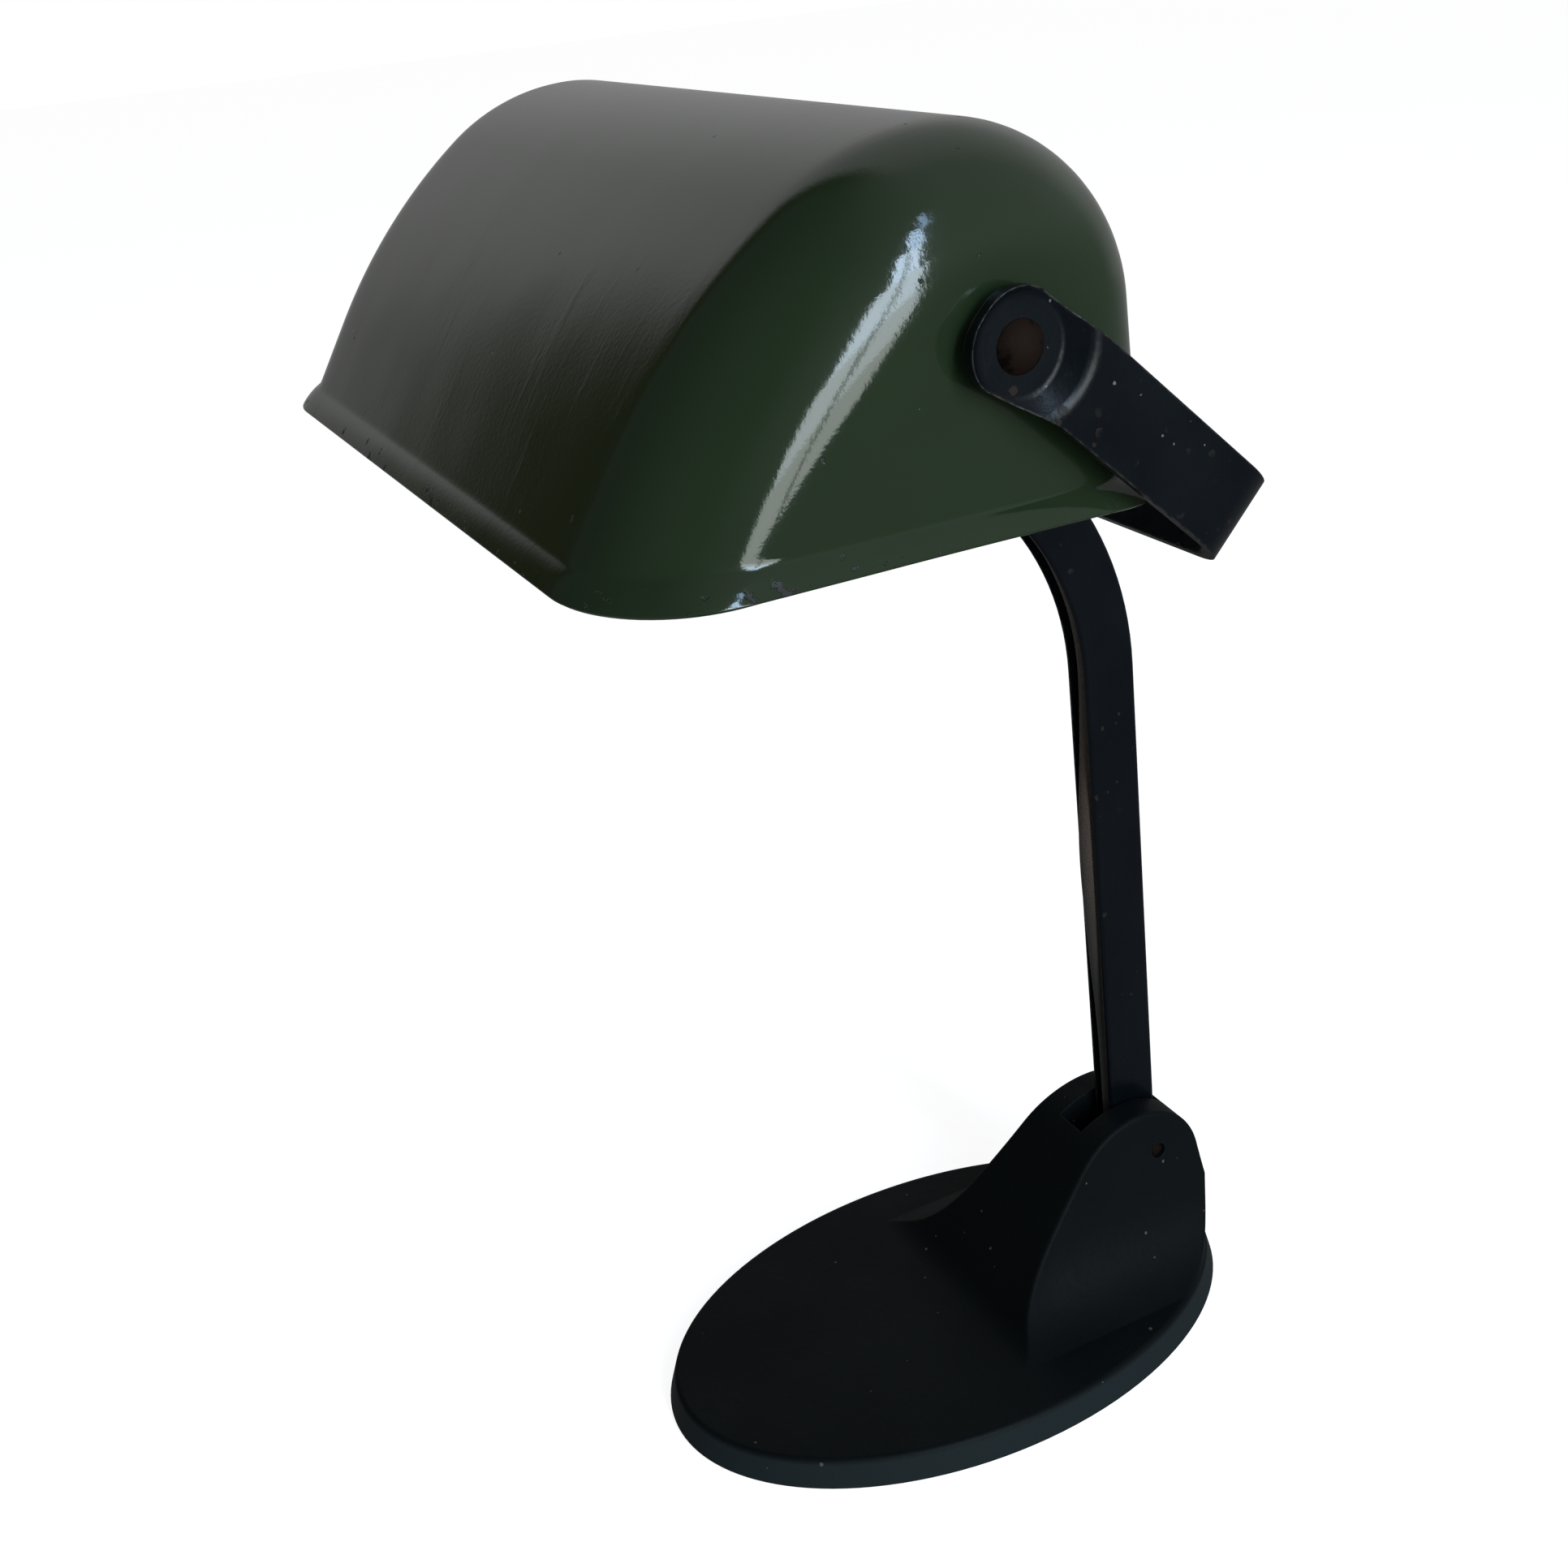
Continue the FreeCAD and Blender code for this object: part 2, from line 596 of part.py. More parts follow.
def pressed_end(way):
    """End of the strap: an eye, set inwards by a cone-shaped step pressed round its rivet."""
    half = STRAP_SHEET / 2
    eye = eye_inner() + half
    leg = leg_inner() + half
    sketch = Sketch((0, PIVOT_Y, PIVOT_Z), (0, 0, 1), (way, 0, 0))
    reach = math.hypot(PRESSED_END, STRAP_WIDTH)
    path = [(RIVET_DIAMETER / 2, eye), (JOGGLE_START, eye), (JOGGLE_END, leg), (reach, leg)]
    section = strip_face(sketch, path, [JOGGLE_BEND, JOGGLE_BEND], half, half)
    pressed = section.revolve(sketch.origin, sketch.up, 360)
    return pressed.common(eye_outline().extrude(FreeCAD.Vector(way * 2 * SHADE_HALF, 0, 0)))


def bail():
    """One strap bent to a U, with an eye pressed in each end."""
    half = STRAP_SHEET / 2
    leg = leg_inner() + half
    cross = BAIL_REACH - half
    sketch = Sketch(tuple(BAIL_SIDE.at((0, -STRAP_WIDTH / 2))), tuple(BAIL_SIDE.across),
                    (1, 0, 0))
    path = [(PRESSED_END, -leg), (cross, -leg), (cross, leg), (PRESSED_END, leg)]
    body = strip_face(sketch, path, [STRAP_BEND, STRAP_BEND], half, half)
    body = body.extrude(BAIL_SIDE.up * STRAP_WIDTH)
    for way in (1, -1):
        body = body.fuse(pressed_end(way))
    holes = [(way * ear_rivet_x(), 0) for way in (1, -1)]
    holes += [(x, 0) for x in bracket_rivets()]
    for x, across in holes:
        body = body.cut(cross_hole(x, across))
    return solid(body)


def cross_hole(x, across):
    """Rivet hole square through the crosspiece of the bail."""
    start = BAIL_SIDE.at((BAIL_REACH - 2 * STRAP_SHEET, across)) + FreeCAD.Vector(x, 0, 0)
    return Part.makeCylinder(SMALL_RIVET / 2, 4 * STRAP_SHEET, start, BAIL_SIDE.across)


def cross_rivet(x, outer_sheet):
    """Rivet through the crosspiece and the sheet that lies on its outer face."""
    sketch = Sketch(tuple(BAIL_SIDE.at((0, 0)) + FreeCAD.Vector(x, 0, 0)),
                    tuple(BAIL_SIDE.across), (1, 0, 0))
    low = BAIL_REACH - STRAP_SHEET
    high = BAIL_REACH + outer_sheet
    return domed_rivet(sketch, low, high)


def domed_rivet(sketch, low, high):
    """Rivet with two low domes, turned about the first axis of a sketch."""
    return rivet(sketch, (low, high), SMALL_RIVET / 2, (SMALL_HEAD / 2, SMALL_DOME),
                 (SMALL_HEAD / 2, SMALL_TAIL_DOME))


def rivet(sketch, span, shank, head, tail):
    """Shank over a span with a head beyond it and a tail before it: (radius, rise) each."""
    low, high = span
    outline = [
        sketch.line((low - tail[1], 0), (high + head[1], 0)),
        dome(sketch, high, head[1], head[0]),
        sketch.line((high, head[0]), (high, shank)),
        sketch.line((high, shank), (low, shank)),
        sketch.line((low, shank), (low, tail[0])),
        dome(sketch, low, -tail[1], tail[0])]
    return sketch.face(outline).revolve(sketch.origin, sketch.across, 360)


def dome(sketch, base, rise, rim):
    """Arc of a ball-shaped dome from its crown to its rim; a negative rise points back."""
    radius = (rim ** 2 + rise ** 2) / (2 * abs(rise))
    way = math.copysign(1.0, rise)
    centre = base + rise - way * radius
    half = math.asin(rim / radius) / 2
    middle = (centre + way * radius * math.cos(half), radius * math.sin(half))
    return sketch.arc((base + rise, 0), middle, (base, rim))


def inner_washer_start():
    return SHADE_HALF - SHADE_SHEET - END_WASHER - SEAT_GAP


def shade_rivet(way):
    """Pivot rivet: domed head on the eye, shank through the shade, tail on a washer."""
    sketch = Sketch((0, PIVOT_Y, PIVOT_Z), (way, 0, 0), (0, 0, 1))
    high = eye_inner() + STRAP_SHEET
    low = SHADE_HALF - SHADE_SHEET - END_WASHER - 2 * SEAT_GAP
    return rivet(sketch, (low, high), RIVET_DIAMETER / 2, (RIVET_HEAD / 2, RIVET_DOME),
                 (RIVET_TAIL / 2, RIVET_TAIL_DOME))


def end_washer(way, start, thickness):
    """Fibre washer on the pivot rivet; `start` is its station nearer the middle."""
    low, high = sorted((way * start, way * (start + thickness)))
    disc = cylinder_x(END_WASHER_DIAMETER / 2, low, high)
    return disc.cut(cylinder_x(RIVET_DIAMETER / 2, low - 1, high + 1))


# ---- shade -------------------------------------------------------------------

def shade_ends(inset, floor):
    """Front and rear points of the side profile at a height, and its curved edges."""
    top = (CREST_Y, CREST_Z - inset)
    crest_centre = (CREST_Y, CREST_Z - CREST_RADIUS)
    rear_centre = (CREST_Y, CREST_Z - REAR_RADIUS)
    front_centre = polar(crest_centre, -(FRONT_RADIUS - CREST_RADIUS), 90 + CREST_TURN)
    wall = polar(front_centre, FRONT_RADIUS - inset, 90 + FRONT_SLOPE)
    back = polar(rear_centre, REAR_RADIUS - inset, 90 - REAR_SLOPE)
    front = (wall[0] - (wall[1] - floor) / math.tan(math.radians(FRONT_SLOPE)), floor)
    rear = (back[0] + (back[1] - floor) / math.tan(math.radians(REAR_SLOPE)), floor)
    edges = [
        PIVOT.line(front, wall),
        PIVOT.swing(front_centre, FRONT_RADIUS - inset, 90 + FRONT_SLOPE, 90 + CREST_TURN),
        PIVOT.swing(crest_centre, CREST_RADIUS - inset, 90 + CREST_TURN, 90),
        PIVOT.swing(rear_centre, REAR_RADIUS - inset, 90, 90 - REAR_SLOPE),
        PIVOT.line(back, rear),
        PIVOT.line(rear, front)]
    return front[0], rear[0], edges


def rim_wire(inset, z):
    """Rounded outline of the rim."""
    crease_front, _, _ = shade_ends(0, CREASE_Z)
    low_front, low_rear, _ = shade_ends(0, RIM_Z)
    front = (crease_front + low_front) / 2 - RIM_FLARE_FRONT + inset
    rear = low_rear + RIM_FLARE_REAR - inset
    half = SHADE_HALF + RIM_FLARE - inset
    sketch = Sketch((0, PIVOT_Y, PIVOT_Z + z), (1, 0, 0), (0, 1, 0))
    radii = [RIM_REAR_CORNER - inset] * 2 + [RIM_CORNER - inset] * 2
    edges = []
    corners = [(half, rear), (-half, rear), (-half, front), (half, front)]
    signs = [(-1, -1), (1, -1), (1, 1), (-1, 1)]
    centres = [(corner[0] + sign[0] * radius, corner[1] + sign[1] * radius)
               for corner, sign, radius in zip(corners, signs, radii)]
    for index in range(4):
        start = 90 * index
        after = (index + 1) % 4
        edges.append(sketch.swing(centres[index], radii[index], start, start + 90))
        edges.append(sketch.line(polar(centres[index], radii[index], start + 90),
                                 polar(centres[after], radii[after], start + 90)))
    return Part.Wire(edges)


def shade_form(inset):
    """Solid of the shade's outer form, or of its inner form when it is set in."""
    half = SHADE_HALF - inset
    deep = 2 * RIM_Z
    _, _, edges = shade_ends(inset, deep)
    face = PIVOT.face(edges)
    face.translate(FreeCAD.Vector(-half, 0, 0))
    barrel = face.extrude(FreeCAD.Vector(2 * half, 0, 0))
    ends = [edge for edge in barrel.Edges
            if edge.BoundBox.XLength < 1e-6 and edge.BoundBox.ZMax > PIVOT_Z + deep + 1e-6]
    barrel = barrel.makeFillet(SHADE_CORNER - inset, ends)
    crease = PIVOT_Z + CREASE_Z
    below = Part.makeBox(4 * half, 4 * half, -2 * deep,
                         FreeCAD.Vector(-2 * half, PIVOT_Y - 2 * half, crease + 2 * deep))
    barrel = barrel.cut(below)
    mouth = [face for face in barrel.Faces if face.BoundBox.ZMax < crease + 1e-6][0]
    lip = Part.makeLoft([mouth.OuterWire, rim_wire(inset, RIM_Z)], True, True)
    return barrel.fuse(lip)


def shade_shell():
    """Pressed shade with a flared rim and a bore at each end for its rivet."""
    shell = shade_form(0).cut(shade_form(SHADE_SHEET))
    bore = cylinder_x(RIVET_DIAMETER / 2 + RUNNING_CLEARANCE, -2 * SHADE_HALF,
                      2 * SHADE_HALF)
    return solid(shell.cut(bore))


# ---- lampholder --------------------------------------------------------------

def bracket_rivets():
    """Stations of the two rivets in the bracket's foot."""
    first = BRACKET_X + SMALL_HEAD / 2 + BRACKET_BEND
    return [first, first + SMALL_HEAD + HEAD_GAP]


def holder_bracket():
    """L-shaped strip: its foot lies on the bail, its plate carries the holder on the axis."""
    half = BRACKET_SHEET / 2
    foot = BAIL_REACH + half
    plate = BRACKET_X - half
    top = Sketch(tuple(BAIL_SIDE.at((0, BRACKET_TOP))), tuple(BAIL_SIDE.across), (1, 0, 0))
    path = [(-BRACKET_RING, plate), (foot, plate), (foot, BRACKET_X + BRACKET_FOOT)]
    strip = strip_face(top, path, [BRACKET_BEND], half, half)
    strip = strip.extrude(BAIL_SIDE.up * (BRACKET_LOW - BRACKET_TOP))
    ends = [edge for edge in strip.Edges
            if edge.BoundBox.XMin > BRACKET_X + BRACKET_FOOT - 1e-6
            and abs(edge.Length - BRACKET_SHEET) < 1e-6]
    strip = strip.makeFillet(EAR_CORNER, ends)
    fold = plate + BRACKET_BEND
    blank = blank_outline().extrude(FreeCAD.Vector(fold - plate + half, 0, 0))
    blank.translate(FreeCAD.Vector(plate - half, 0, 0))
    beyond = Part.makeBox(BRACKET_FOOT, 4 * BAIL_REACH, 4 * BAIL_REACH,
                          FreeCAD.Vector(fold, PIVOT_Y - 2 * BAIL_REACH,
                                         PIVOT_Z - 2 * BAIL_REACH))
    body = strip.common(blank.fuse(beyond))
    body = body.cut(cylinder_x(NIPPLE_DIAMETER / 2, plate - half, plate + half))
    for x in bracket_rivets():
        body = body.cut(cross_hole(x, 0))
    return solid(body)


def blank_outline():
    """Cranked outline of the bracket's plate, which passes below the rim of the shade."""
    edge = STRAP_WIDTH / 2 + BRACKET_GAP
    end = BAIL_REACH + 2 * BRACKET_SHEET
    crank = BAIL_SIDE.polygon([
        (end, edge), (end, BRACKET_LOW), (BRACKET_HEEL, BRACKET_LOW),
        (0, BAIL_RISE + BRACKET_RING), (0, BAIL_RISE - BRACKET_RING), (BRACKET_WAIST, edge)])
    return crank.fuse(BAIL_SIDE.disc((0, BAIL_RISE), BRACKET_RING)).removeSplitter().Faces[0]


def tube_x(start, end, outer, inner):
    """Plain ring or tube on the pivot axis."""
    return cylinder_x(outer / 2, start, end).cut(cylinder_x(inner / 2, start - 1, end + 1))


def bracket_back():
    return BRACKET_X - BRACKET_SHEET


def holder_nipple():
    return tube_x(bracket_back() - NIPPLE_BACK, BRACKET_X + NIPPLE_FRONT,
                  NIPPLE_DIAMETER, NIPPLE_BORE)


def tooth_washer():
    return tube_x(bracket_back() - TOOTH_WASHER, bracket_back(),
                  TOOTH_WASHER_DIAMETER, NIPPLE_DIAMETER)


def nipple_nut():
    """Hexagonal lock nut behind the bracket."""
    start = bracket_back() - TOOTH_WASHER - NUT_THICKNESS
    sketch = Sketch((start, PIVOT_Y, PIVOT_Z), (0, 1, 0), (0, 0, 1))
    corner = NUT_ACROSS / 2 / math.cos(math.radians(30))
    hexagon = sketch.polygon([polar((0, 0), corner, 60 * turn) for turn in range(6)])
    nut = hexagon.extrude(FreeCAD.Vector(NUT_THICKNESS, 0, 0))
    return nut.cut(cylinder_x(NIPPLE_DIAMETER / 2, start - 1, start + NUT_THICKNESS + 1))


def turned(edges):
    """Solid of revolution about the pivot axis from the edges of a half section."""
    return AXIAL.face(edges).revolve(AXIAL.origin, AXIAL.across, 360)


def holder_cap():
    """Domed brass cap, screwed onto the nipple."""
    neck = CAP_NECK_DIAMETER / 2
    rim = CAP_DIAMETER / 2
    bore = NIPPLE_DIAMETER / 2
    dome = rim - neck

    def half_section(inset, base):
        start = BRACKET_X + base
        turn = BRACKET_X + CAP_NECK + inset * CAP_CROWN_SHIFT
        centre = (turn + dome, neck - inset)
        return [
            AXIAL.line((start, bore), (start, neck - inset)),
            AXIAL.line((start, neck - inset), (turn, neck - inset)),
            AXIAL.arc((turn, neck - inset), polar(centre, dome, 135),
                      (centre[0], rim - inset)),
            AXIAL.line((centre[0], rim - inset), (BRACKET_X + CAP_LENGTH, rim - inset)),
            AXIAL.line((BRACKET_X + CAP_LENGTH, rim - inset), (BRACKET_X + CAP_LENGTH, bore)),
            AXIAL.line((BRACKET_X + CAP_LENGTH, bore), (start, bore))]

    return solid(turned(half_section(0, 0)).cut(turned(half_section(CAP_WALL, CAP_WALL))))


def holder_shell():
    """Brass ring that screws over the cap and holds the porcelain insert."""
    start = BRACKET_X + CAP_LENGTH - HOLDER_OVERLAP
    end = start + HOLDER_LENGTH
    inner = CAP_DIAMETER / 2
    outer = inner + HOLDER_WALL
    return revolve_x([(start, inner), (start, outer), (end, outer),
                      (end, inner - HOLDER_LIP), (end - HOLDER_WALL, inner - HOLDER_LIP),
                      (end - HOLDER_WALL, inner)])


def insert_back():
    return BRACKET_X + INSERT_START


def insert_floor():
    return insert_back() + INSERT_FLOOR


def sleeve_outer():
    return SLEEVE_BORE / 2 + SLEEVE_WALL


def holder_insert():
    """Porcelain insert: a floor with a collar round the screw sleeve."""
    end = insert_back() + INSERT_LENGTH
    outer = INSERT_DIAMETER / 2
    return revolve_x([(insert_back(), 0), (insert_back(), outer), (end, outer),
                      (end, sleeve_outer()), (insert_floor(), sleeve_outer()),
                      (insert_floor(), 0)])


def holder_sleeve():
    return tube_x(insert_floor(), insert_back() + INSERT_LENGTH - SLEEVE_SINK,
                  2 * sleeve_outer(), SLEEVE_BORE)


def centre_contact():
    """Contact on a short post on the floor of the insert."""
    start = insert_floor()
    end = start + CONTACT_RISE
    wide = CONTACT_DIAMETER / 2
    return revolve_x([(start, 0), (start, wide), (start + CONTACT_SHEET, wide),
                      (start + CONTACT_SHEET, wide / 3), (end - CONTACT_SHEET, wide / 3),
                      (end - CONTACT_SHEET, wide * CONTACT_TIP), (end, wide * CONTACT_TIP), (end, 0)])


def terminal_screws():
    """Two terminal screws on the back of the insert."""
    start = insert_back() - TERMINAL_LENGTH
    screws = [cylinder_x(TERMINAL_DIAMETER / 2, start, insert_back(),
                         PIVOT_Y + way * TERMINAL_SPACING / 2) for way in (1, -1)]
    return Part.makeCompound(screws)


# ---- bulb --------------------------------------------------------------------

def bulb_tip():
    return insert_floor() + CONTACT_RISE


def bulb_contact():
    return cylinder_x(CONTACT_DIAMETER / 2, bulb_tip(), bulb_tip() + BULB_TIP / 3)


def bulb_insulator():
    """Black glass cone between the contact and the screw cap."""
    start = bulb_tip() + BULB_TIP / 3
    return revolve_x([(start, 0), (start, CONTACT_DIAMETER / 2),
                      (bulb_tip() + BULB_TIP, cap_shoulder()), (bulb_tip() + BULB_TIP, 0)])


def cap_shoulder():
    return BULB_CAP_DIAMETER / 2 - 2 * BULB_TIP / 3


def bulb_cap():
    """Screw cap of the bulb, open towards the glass."""
    start = bulb_tip() + BULB_TIP
    outer = BULB_CAP_DIAMETER / 2
    bend = start + BULB_TIP / 2
    end = bulb_tip() + BULB_CAP_LENGTH
    return revolve_x([(start, 0), (start, cap_shoulder()), (bend, outer), (end, outer),
                      (end, outer - BULB_CAP_WALL), (bend + BULB_CAP_WALL, outer - BULB_CAP_WALL),
                      (start + BULB_CAP_WALL, cap_shoulder() - BULB_CAP_WALL),
                      (start + BULB_CAP_WALL, 0)])


def bulb_form(inset):
    """Pear form of the bulb, or of its inside."""
    seat = BULB_CAP_DIAMETER / 2 - BULB_CAP_WALL - inset
    start = bulb_tip() + BULB_CAP_LENGTH - BULB_TIP + inset
    collar = bulb_tip() + BULB_CAP_LENGTH + BULB_NECK_LENGTH
    centre = (bulb_tip() + BULB_LENGTH - BULB_RADIUS, 0)
    radius = BULB_RADIUS - inset
    join = polar(centre, radius, BULB_SHOULDER)
    middle = ((collar + join[0]) / 2 + NECK_SAG[0], (seat + join[1]) / 2 - NECK_SAG[1])
    return turned([
        AXIAL.line((start, 0), (start, seat)),
        AXIAL.line((start, seat), (collar, seat)),
        AXIAL.arc((collar, seat), middle, join),
        AXIAL.swing(centre, radius, BULB_SHOULDER, 0),
        AXIAL.line((centre[0] + radius, 0), (start, 0))])


def bulb_glass():
    return solid(bulb_form(0).cut(bulb_form(BULB_GLASS)))


def stem_start():
    return bulb_tip() + BULB_CAP_LENGTH - BULB_TIP + BULB_GLASS


def bulb_stem():
    """Glass stem inside the bulb."""
    start = stem_start()
    end = start + STEM_LENGTH
    return revolve_x([(start, 0), (start, STEM_FOOT_RADIUS), (start + STEM_FOOT, STEM_RADIUS),
                      (end - STEM_TIP, STEM_NECK_RADIUS), (end, STEM_TIP_RADIUS), (end, 0)])


def filament():
    """Ring of wire on four supports at the end of the stem."""
    start = FreeCAD.Vector(stem_start() + STEM_LENGTH + FILAMENT_WIRE, PIVOT_Y, PIVOT_Z)
    ahead = FreeCAD.Vector(1, 0, 0)
    centre = start + ahead * FILAMENT_RADIUS
    ring = Part.makeTorus(FILAMENT_RADIUS, FILAMENT_WIRE / 2, centre, ahead)
    hub = Part.makeSphere(FILAMENT_WIRE, start)
    body = ring.fuse(hub)
    for turn in (45, 135, 225, 315):
        across, up = polar((0, 0), FILAMENT_RADIUS, turn)
        way = FreeCAD.Vector(FILAMENT_RADIUS, across, up)
        wire = Part.makeCylinder(FILAMENT_WIRE / 3, way.Length, start, way)
        body = body.fuse(wire)
    return solid(body)


# ---- lead --------------------------------------------------------------------

def lead_tube(points):
    """Round lead along straight runs joined by tangent arcs; also its arc radii."""
    edges = []
    radii = []
    here = points[0]
    for before, corner, after in zip(points, points[1:], points[2:]):
        run_in = corner - before
        run_out = after - corner
        turn = run_in.getAngle(run_out)
        shorter = min(run_in.Length, run_out.Length)
        tangent = CURVE_FULLNESS * shorter
        radii.append(tangent / math.tan(turn / 2))
        start = corner - run_in.normalize() * tangent
        end = corner + run_out.normalize() * tangent
        inward = (start + end) * 0.5 - corner
        rise = radii[-1] * (1 / math.cos(turn / 2) - 1)
        middle = corner + inward.normalize() * rise
        edges.append(Part.LineSegment(here, start).toShape())
        edges.append(Part.Arc(start, middle, end).toShape())
        here = end
    edges.append(Part.LineSegment(here, points[-1]).toShape())
    route = Part.Wire(edges)
    first = points[1] - points[0]
    ring = Part.Wire(Part.makeCircle(LEAD_DIAMETER / 2, points[0], first))
    tube = route.makePipeShell([ring], True, True)
    return tube, route.Length, radii


def lead_ahead():
    """Distance of the lead in front of the arm's middle line where it passes the pin."""
    return PIN_DIAMETER / 2 + LEAD_PIN_GAP + LEAD_DIAMETER / 2


def arm_point(along, ahead, x=0.0):
    """Point beside the straight run of the arm: `along` from the pin, `ahead` of its middle."""
    lean = math.radians(ARM_LEAN)
    return FreeCAD.Vector(x, PIN_Y - along * math.sin(lean) - ahead * math.cos(lean),
                          PIN_Z + along * math.cos(lean) - ahead * math.sin(lean))


def bend_point(turn, ahead):
    """Point beside the curved run of the arm, `turn` degrees up from its start."""
    path = arm_path()
    up = unit(path[0], path[1])
    over = unit(path[1], path[2])
    swing = math.acos(up[0] * over[0] + up[1] * over[1])
    tangent = ARM_BEND_RADIUS * math.tan(swing / 2)
    centre = (path[1][0] - up[0] * tangent - up[1] * ARM_BEND_RADIUS,
              path[1][1] - up[1] * tangent + up[0] * ARM_BEND_RADIUS)
    point = polar(centre, ARM_BEND_RADIUS - ahead, ARM_LEAN + turn)
    return FreeCAD.Vector(0, *point)


def bail_point(x, out, low):
    """Point in the bail's own frame: `out` from the pivot axis, `low` below the strap's middle."""
    return BAIL_SIDE.at((out, low)) + FreeCAD.Vector(x, 0, 0)


def base_lead_points():
    """Route from the bushing through the tower's cavity and up into the slot."""
    end = bend_lead_points()[0]
    steps = [FreeCAD.Vector(0, end.y + back, BUSHING_Z + rise) for back, rise in LEAD_BASE_STEPS]
    return [FreeCAD.Vector(0, spot_face() + BUSHING_FLANGE_THICKNESS, BUSHING_Z)] + steps + [end]


def bend_lead_points():
    """Short free run of the lead past the pin, which flexes when the arm tilts."""
    beside = arm_point(0.0, lead_ahead())
    return [FreeCAD.Vector(0, beside.y, BEND_LOW), beside,
            arm_point(BEND_REACH, lead_ahead())]


def arm_lead_points():
    """Route up the channel, out below the bail and round to the holder's nipple."""
    points = [arm_point(BEND_REACH, lead_ahead())]
    points += [arm_point(along, ahead) for along, ahead in LEAD_CHANNEL_STEPS]
    points += [bend_point(turn, ahead) for turn, ahead in LEAD_BEND_STEPS]
    points += [bail_point(x, BAIL_REACH + out, low) for x, out, low in LEAD_BAIL_STEPS]
    points += [bail_point(BRACKET_X + x, BAIL_REACH + out, low)
               for x, out, low in LEAD_BRACKET_STEPS]
    points += [bail_point(BRACKET_X + x, out, BAIL_RISE + low)
               for x, out, low in LEAD_HOLDER_STEPS]
    return points


def lead(points):
    tube, length, radii = lead_tube(points)
    section = math.pi * LEAD_DIAMETER ** 2 / 4
    print(f"lead: length {length:.1f}, volume ratio {tube.Volume / section / length:.4f}, "
          f"radii {[round(radius, 1) for radius in radii]}")
    return tube


NODES = {
    "base_casting": base_casting,
    "base_felt": base_felt,
    "inlet_bushing": inlet_bushing,
    "arm_pivot_pin": arm_pivot_pin,
    "slot_washer_right": lambda: slot_washer(1),
    "slot_washer_left": lambda: slot_washer(-1),
    "arm_channel": arm_channel,
    "arm_rivets": lambda: Part.makeCompound(
        [cross_rivet(way * ear_rivet_x(), ARM_SHEET) for way in (1, -1)]),
    "bail": bail,
    "shade_rivet_right": lambda: shade_rivet(1),
    "shade_rivet_left": lambda: shade_rivet(-1),
    "outer_washer_right": lambda: end_washer(1, SHADE_HALF + SEAT_GAP, SPACER),
    "outer_washer_left": lambda: end_washer(-1, SHADE_HALF + SEAT_GAP, SPACER),
    "inner_washer_right": lambda: end_washer(1, inner_washer_start(), END_WASHER),
    "inner_washer_left": lambda: end_washer(-1, inner_washer_start(), END_WASHER),
    "shade_shell": shade_shell,
    "holder_bracket": holder_bracket,
    "bracket_rivets": lambda: Part.makeCompound(
        [cross_rivet(x, BRACKET_SHEET) for x in bracket_rivets()]),
    "holder_nipple": holder_nipple,
    "tooth_washer": tooth_washer,
    "nipple_nut": nipple_nut,
    "holder_cap": holder_cap,
    "holder_shell": holder_shell,
    "holder_insert": holder_insert,
    "holder_sleeve": holder_sleeve,
    "centre_contact": centre_contact,
    "terminal_screws": terminal_screws,
    "bulb_cap": bulb_cap,
    "bulb_insulator": bulb_insulator,
    "bulb_contact": bulb_contact,
    "bulb_glass": bulb_glass,
    "bulb_stem": bulb_stem,
    "bulb_filament": filament,
    "lead_base": lambda: lead(base_lead_points()),
    "lead_bend": lambda: lead(bend_lead_points()),
    "lead_arm": lambda: lead(arm_lead_points()),
}


def main():
    os.makedirs("parts", exist_ok=True)
    for name, build in NODES.items():
        shape = build()
        shape.exportStep(f"parts/{name}.step")
        box = shape.BoundBox
        print(f"{name}: {len(shape.Solids)} solids, valid {shape.isValid()}, "
              f"{shape.Volume:.1f} mm3, {box.XMin:.1f}..{box.XMax:.1f} "
              f"{box.YMin:.1f}..{box.YMax:.1f} {box.ZMin:.1f}..{box.ZMax:.1f}")


main()
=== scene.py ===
"""Banker desk lamp: its finishes, its enamelled shade and its braided lead.

Everything is in metres. X is the long way of the shade, the light falls towards -Y,
and the lamp stands on the plane z = 0.
"""

import json
import logging
import math
from contextlib import contextmanager
from dataclasses import dataclass
from enum import Enum
from typing import Iterator, Optional, Union

import bmesh
import bpy
import numpy as np
from mathutils import Matrix, Vector


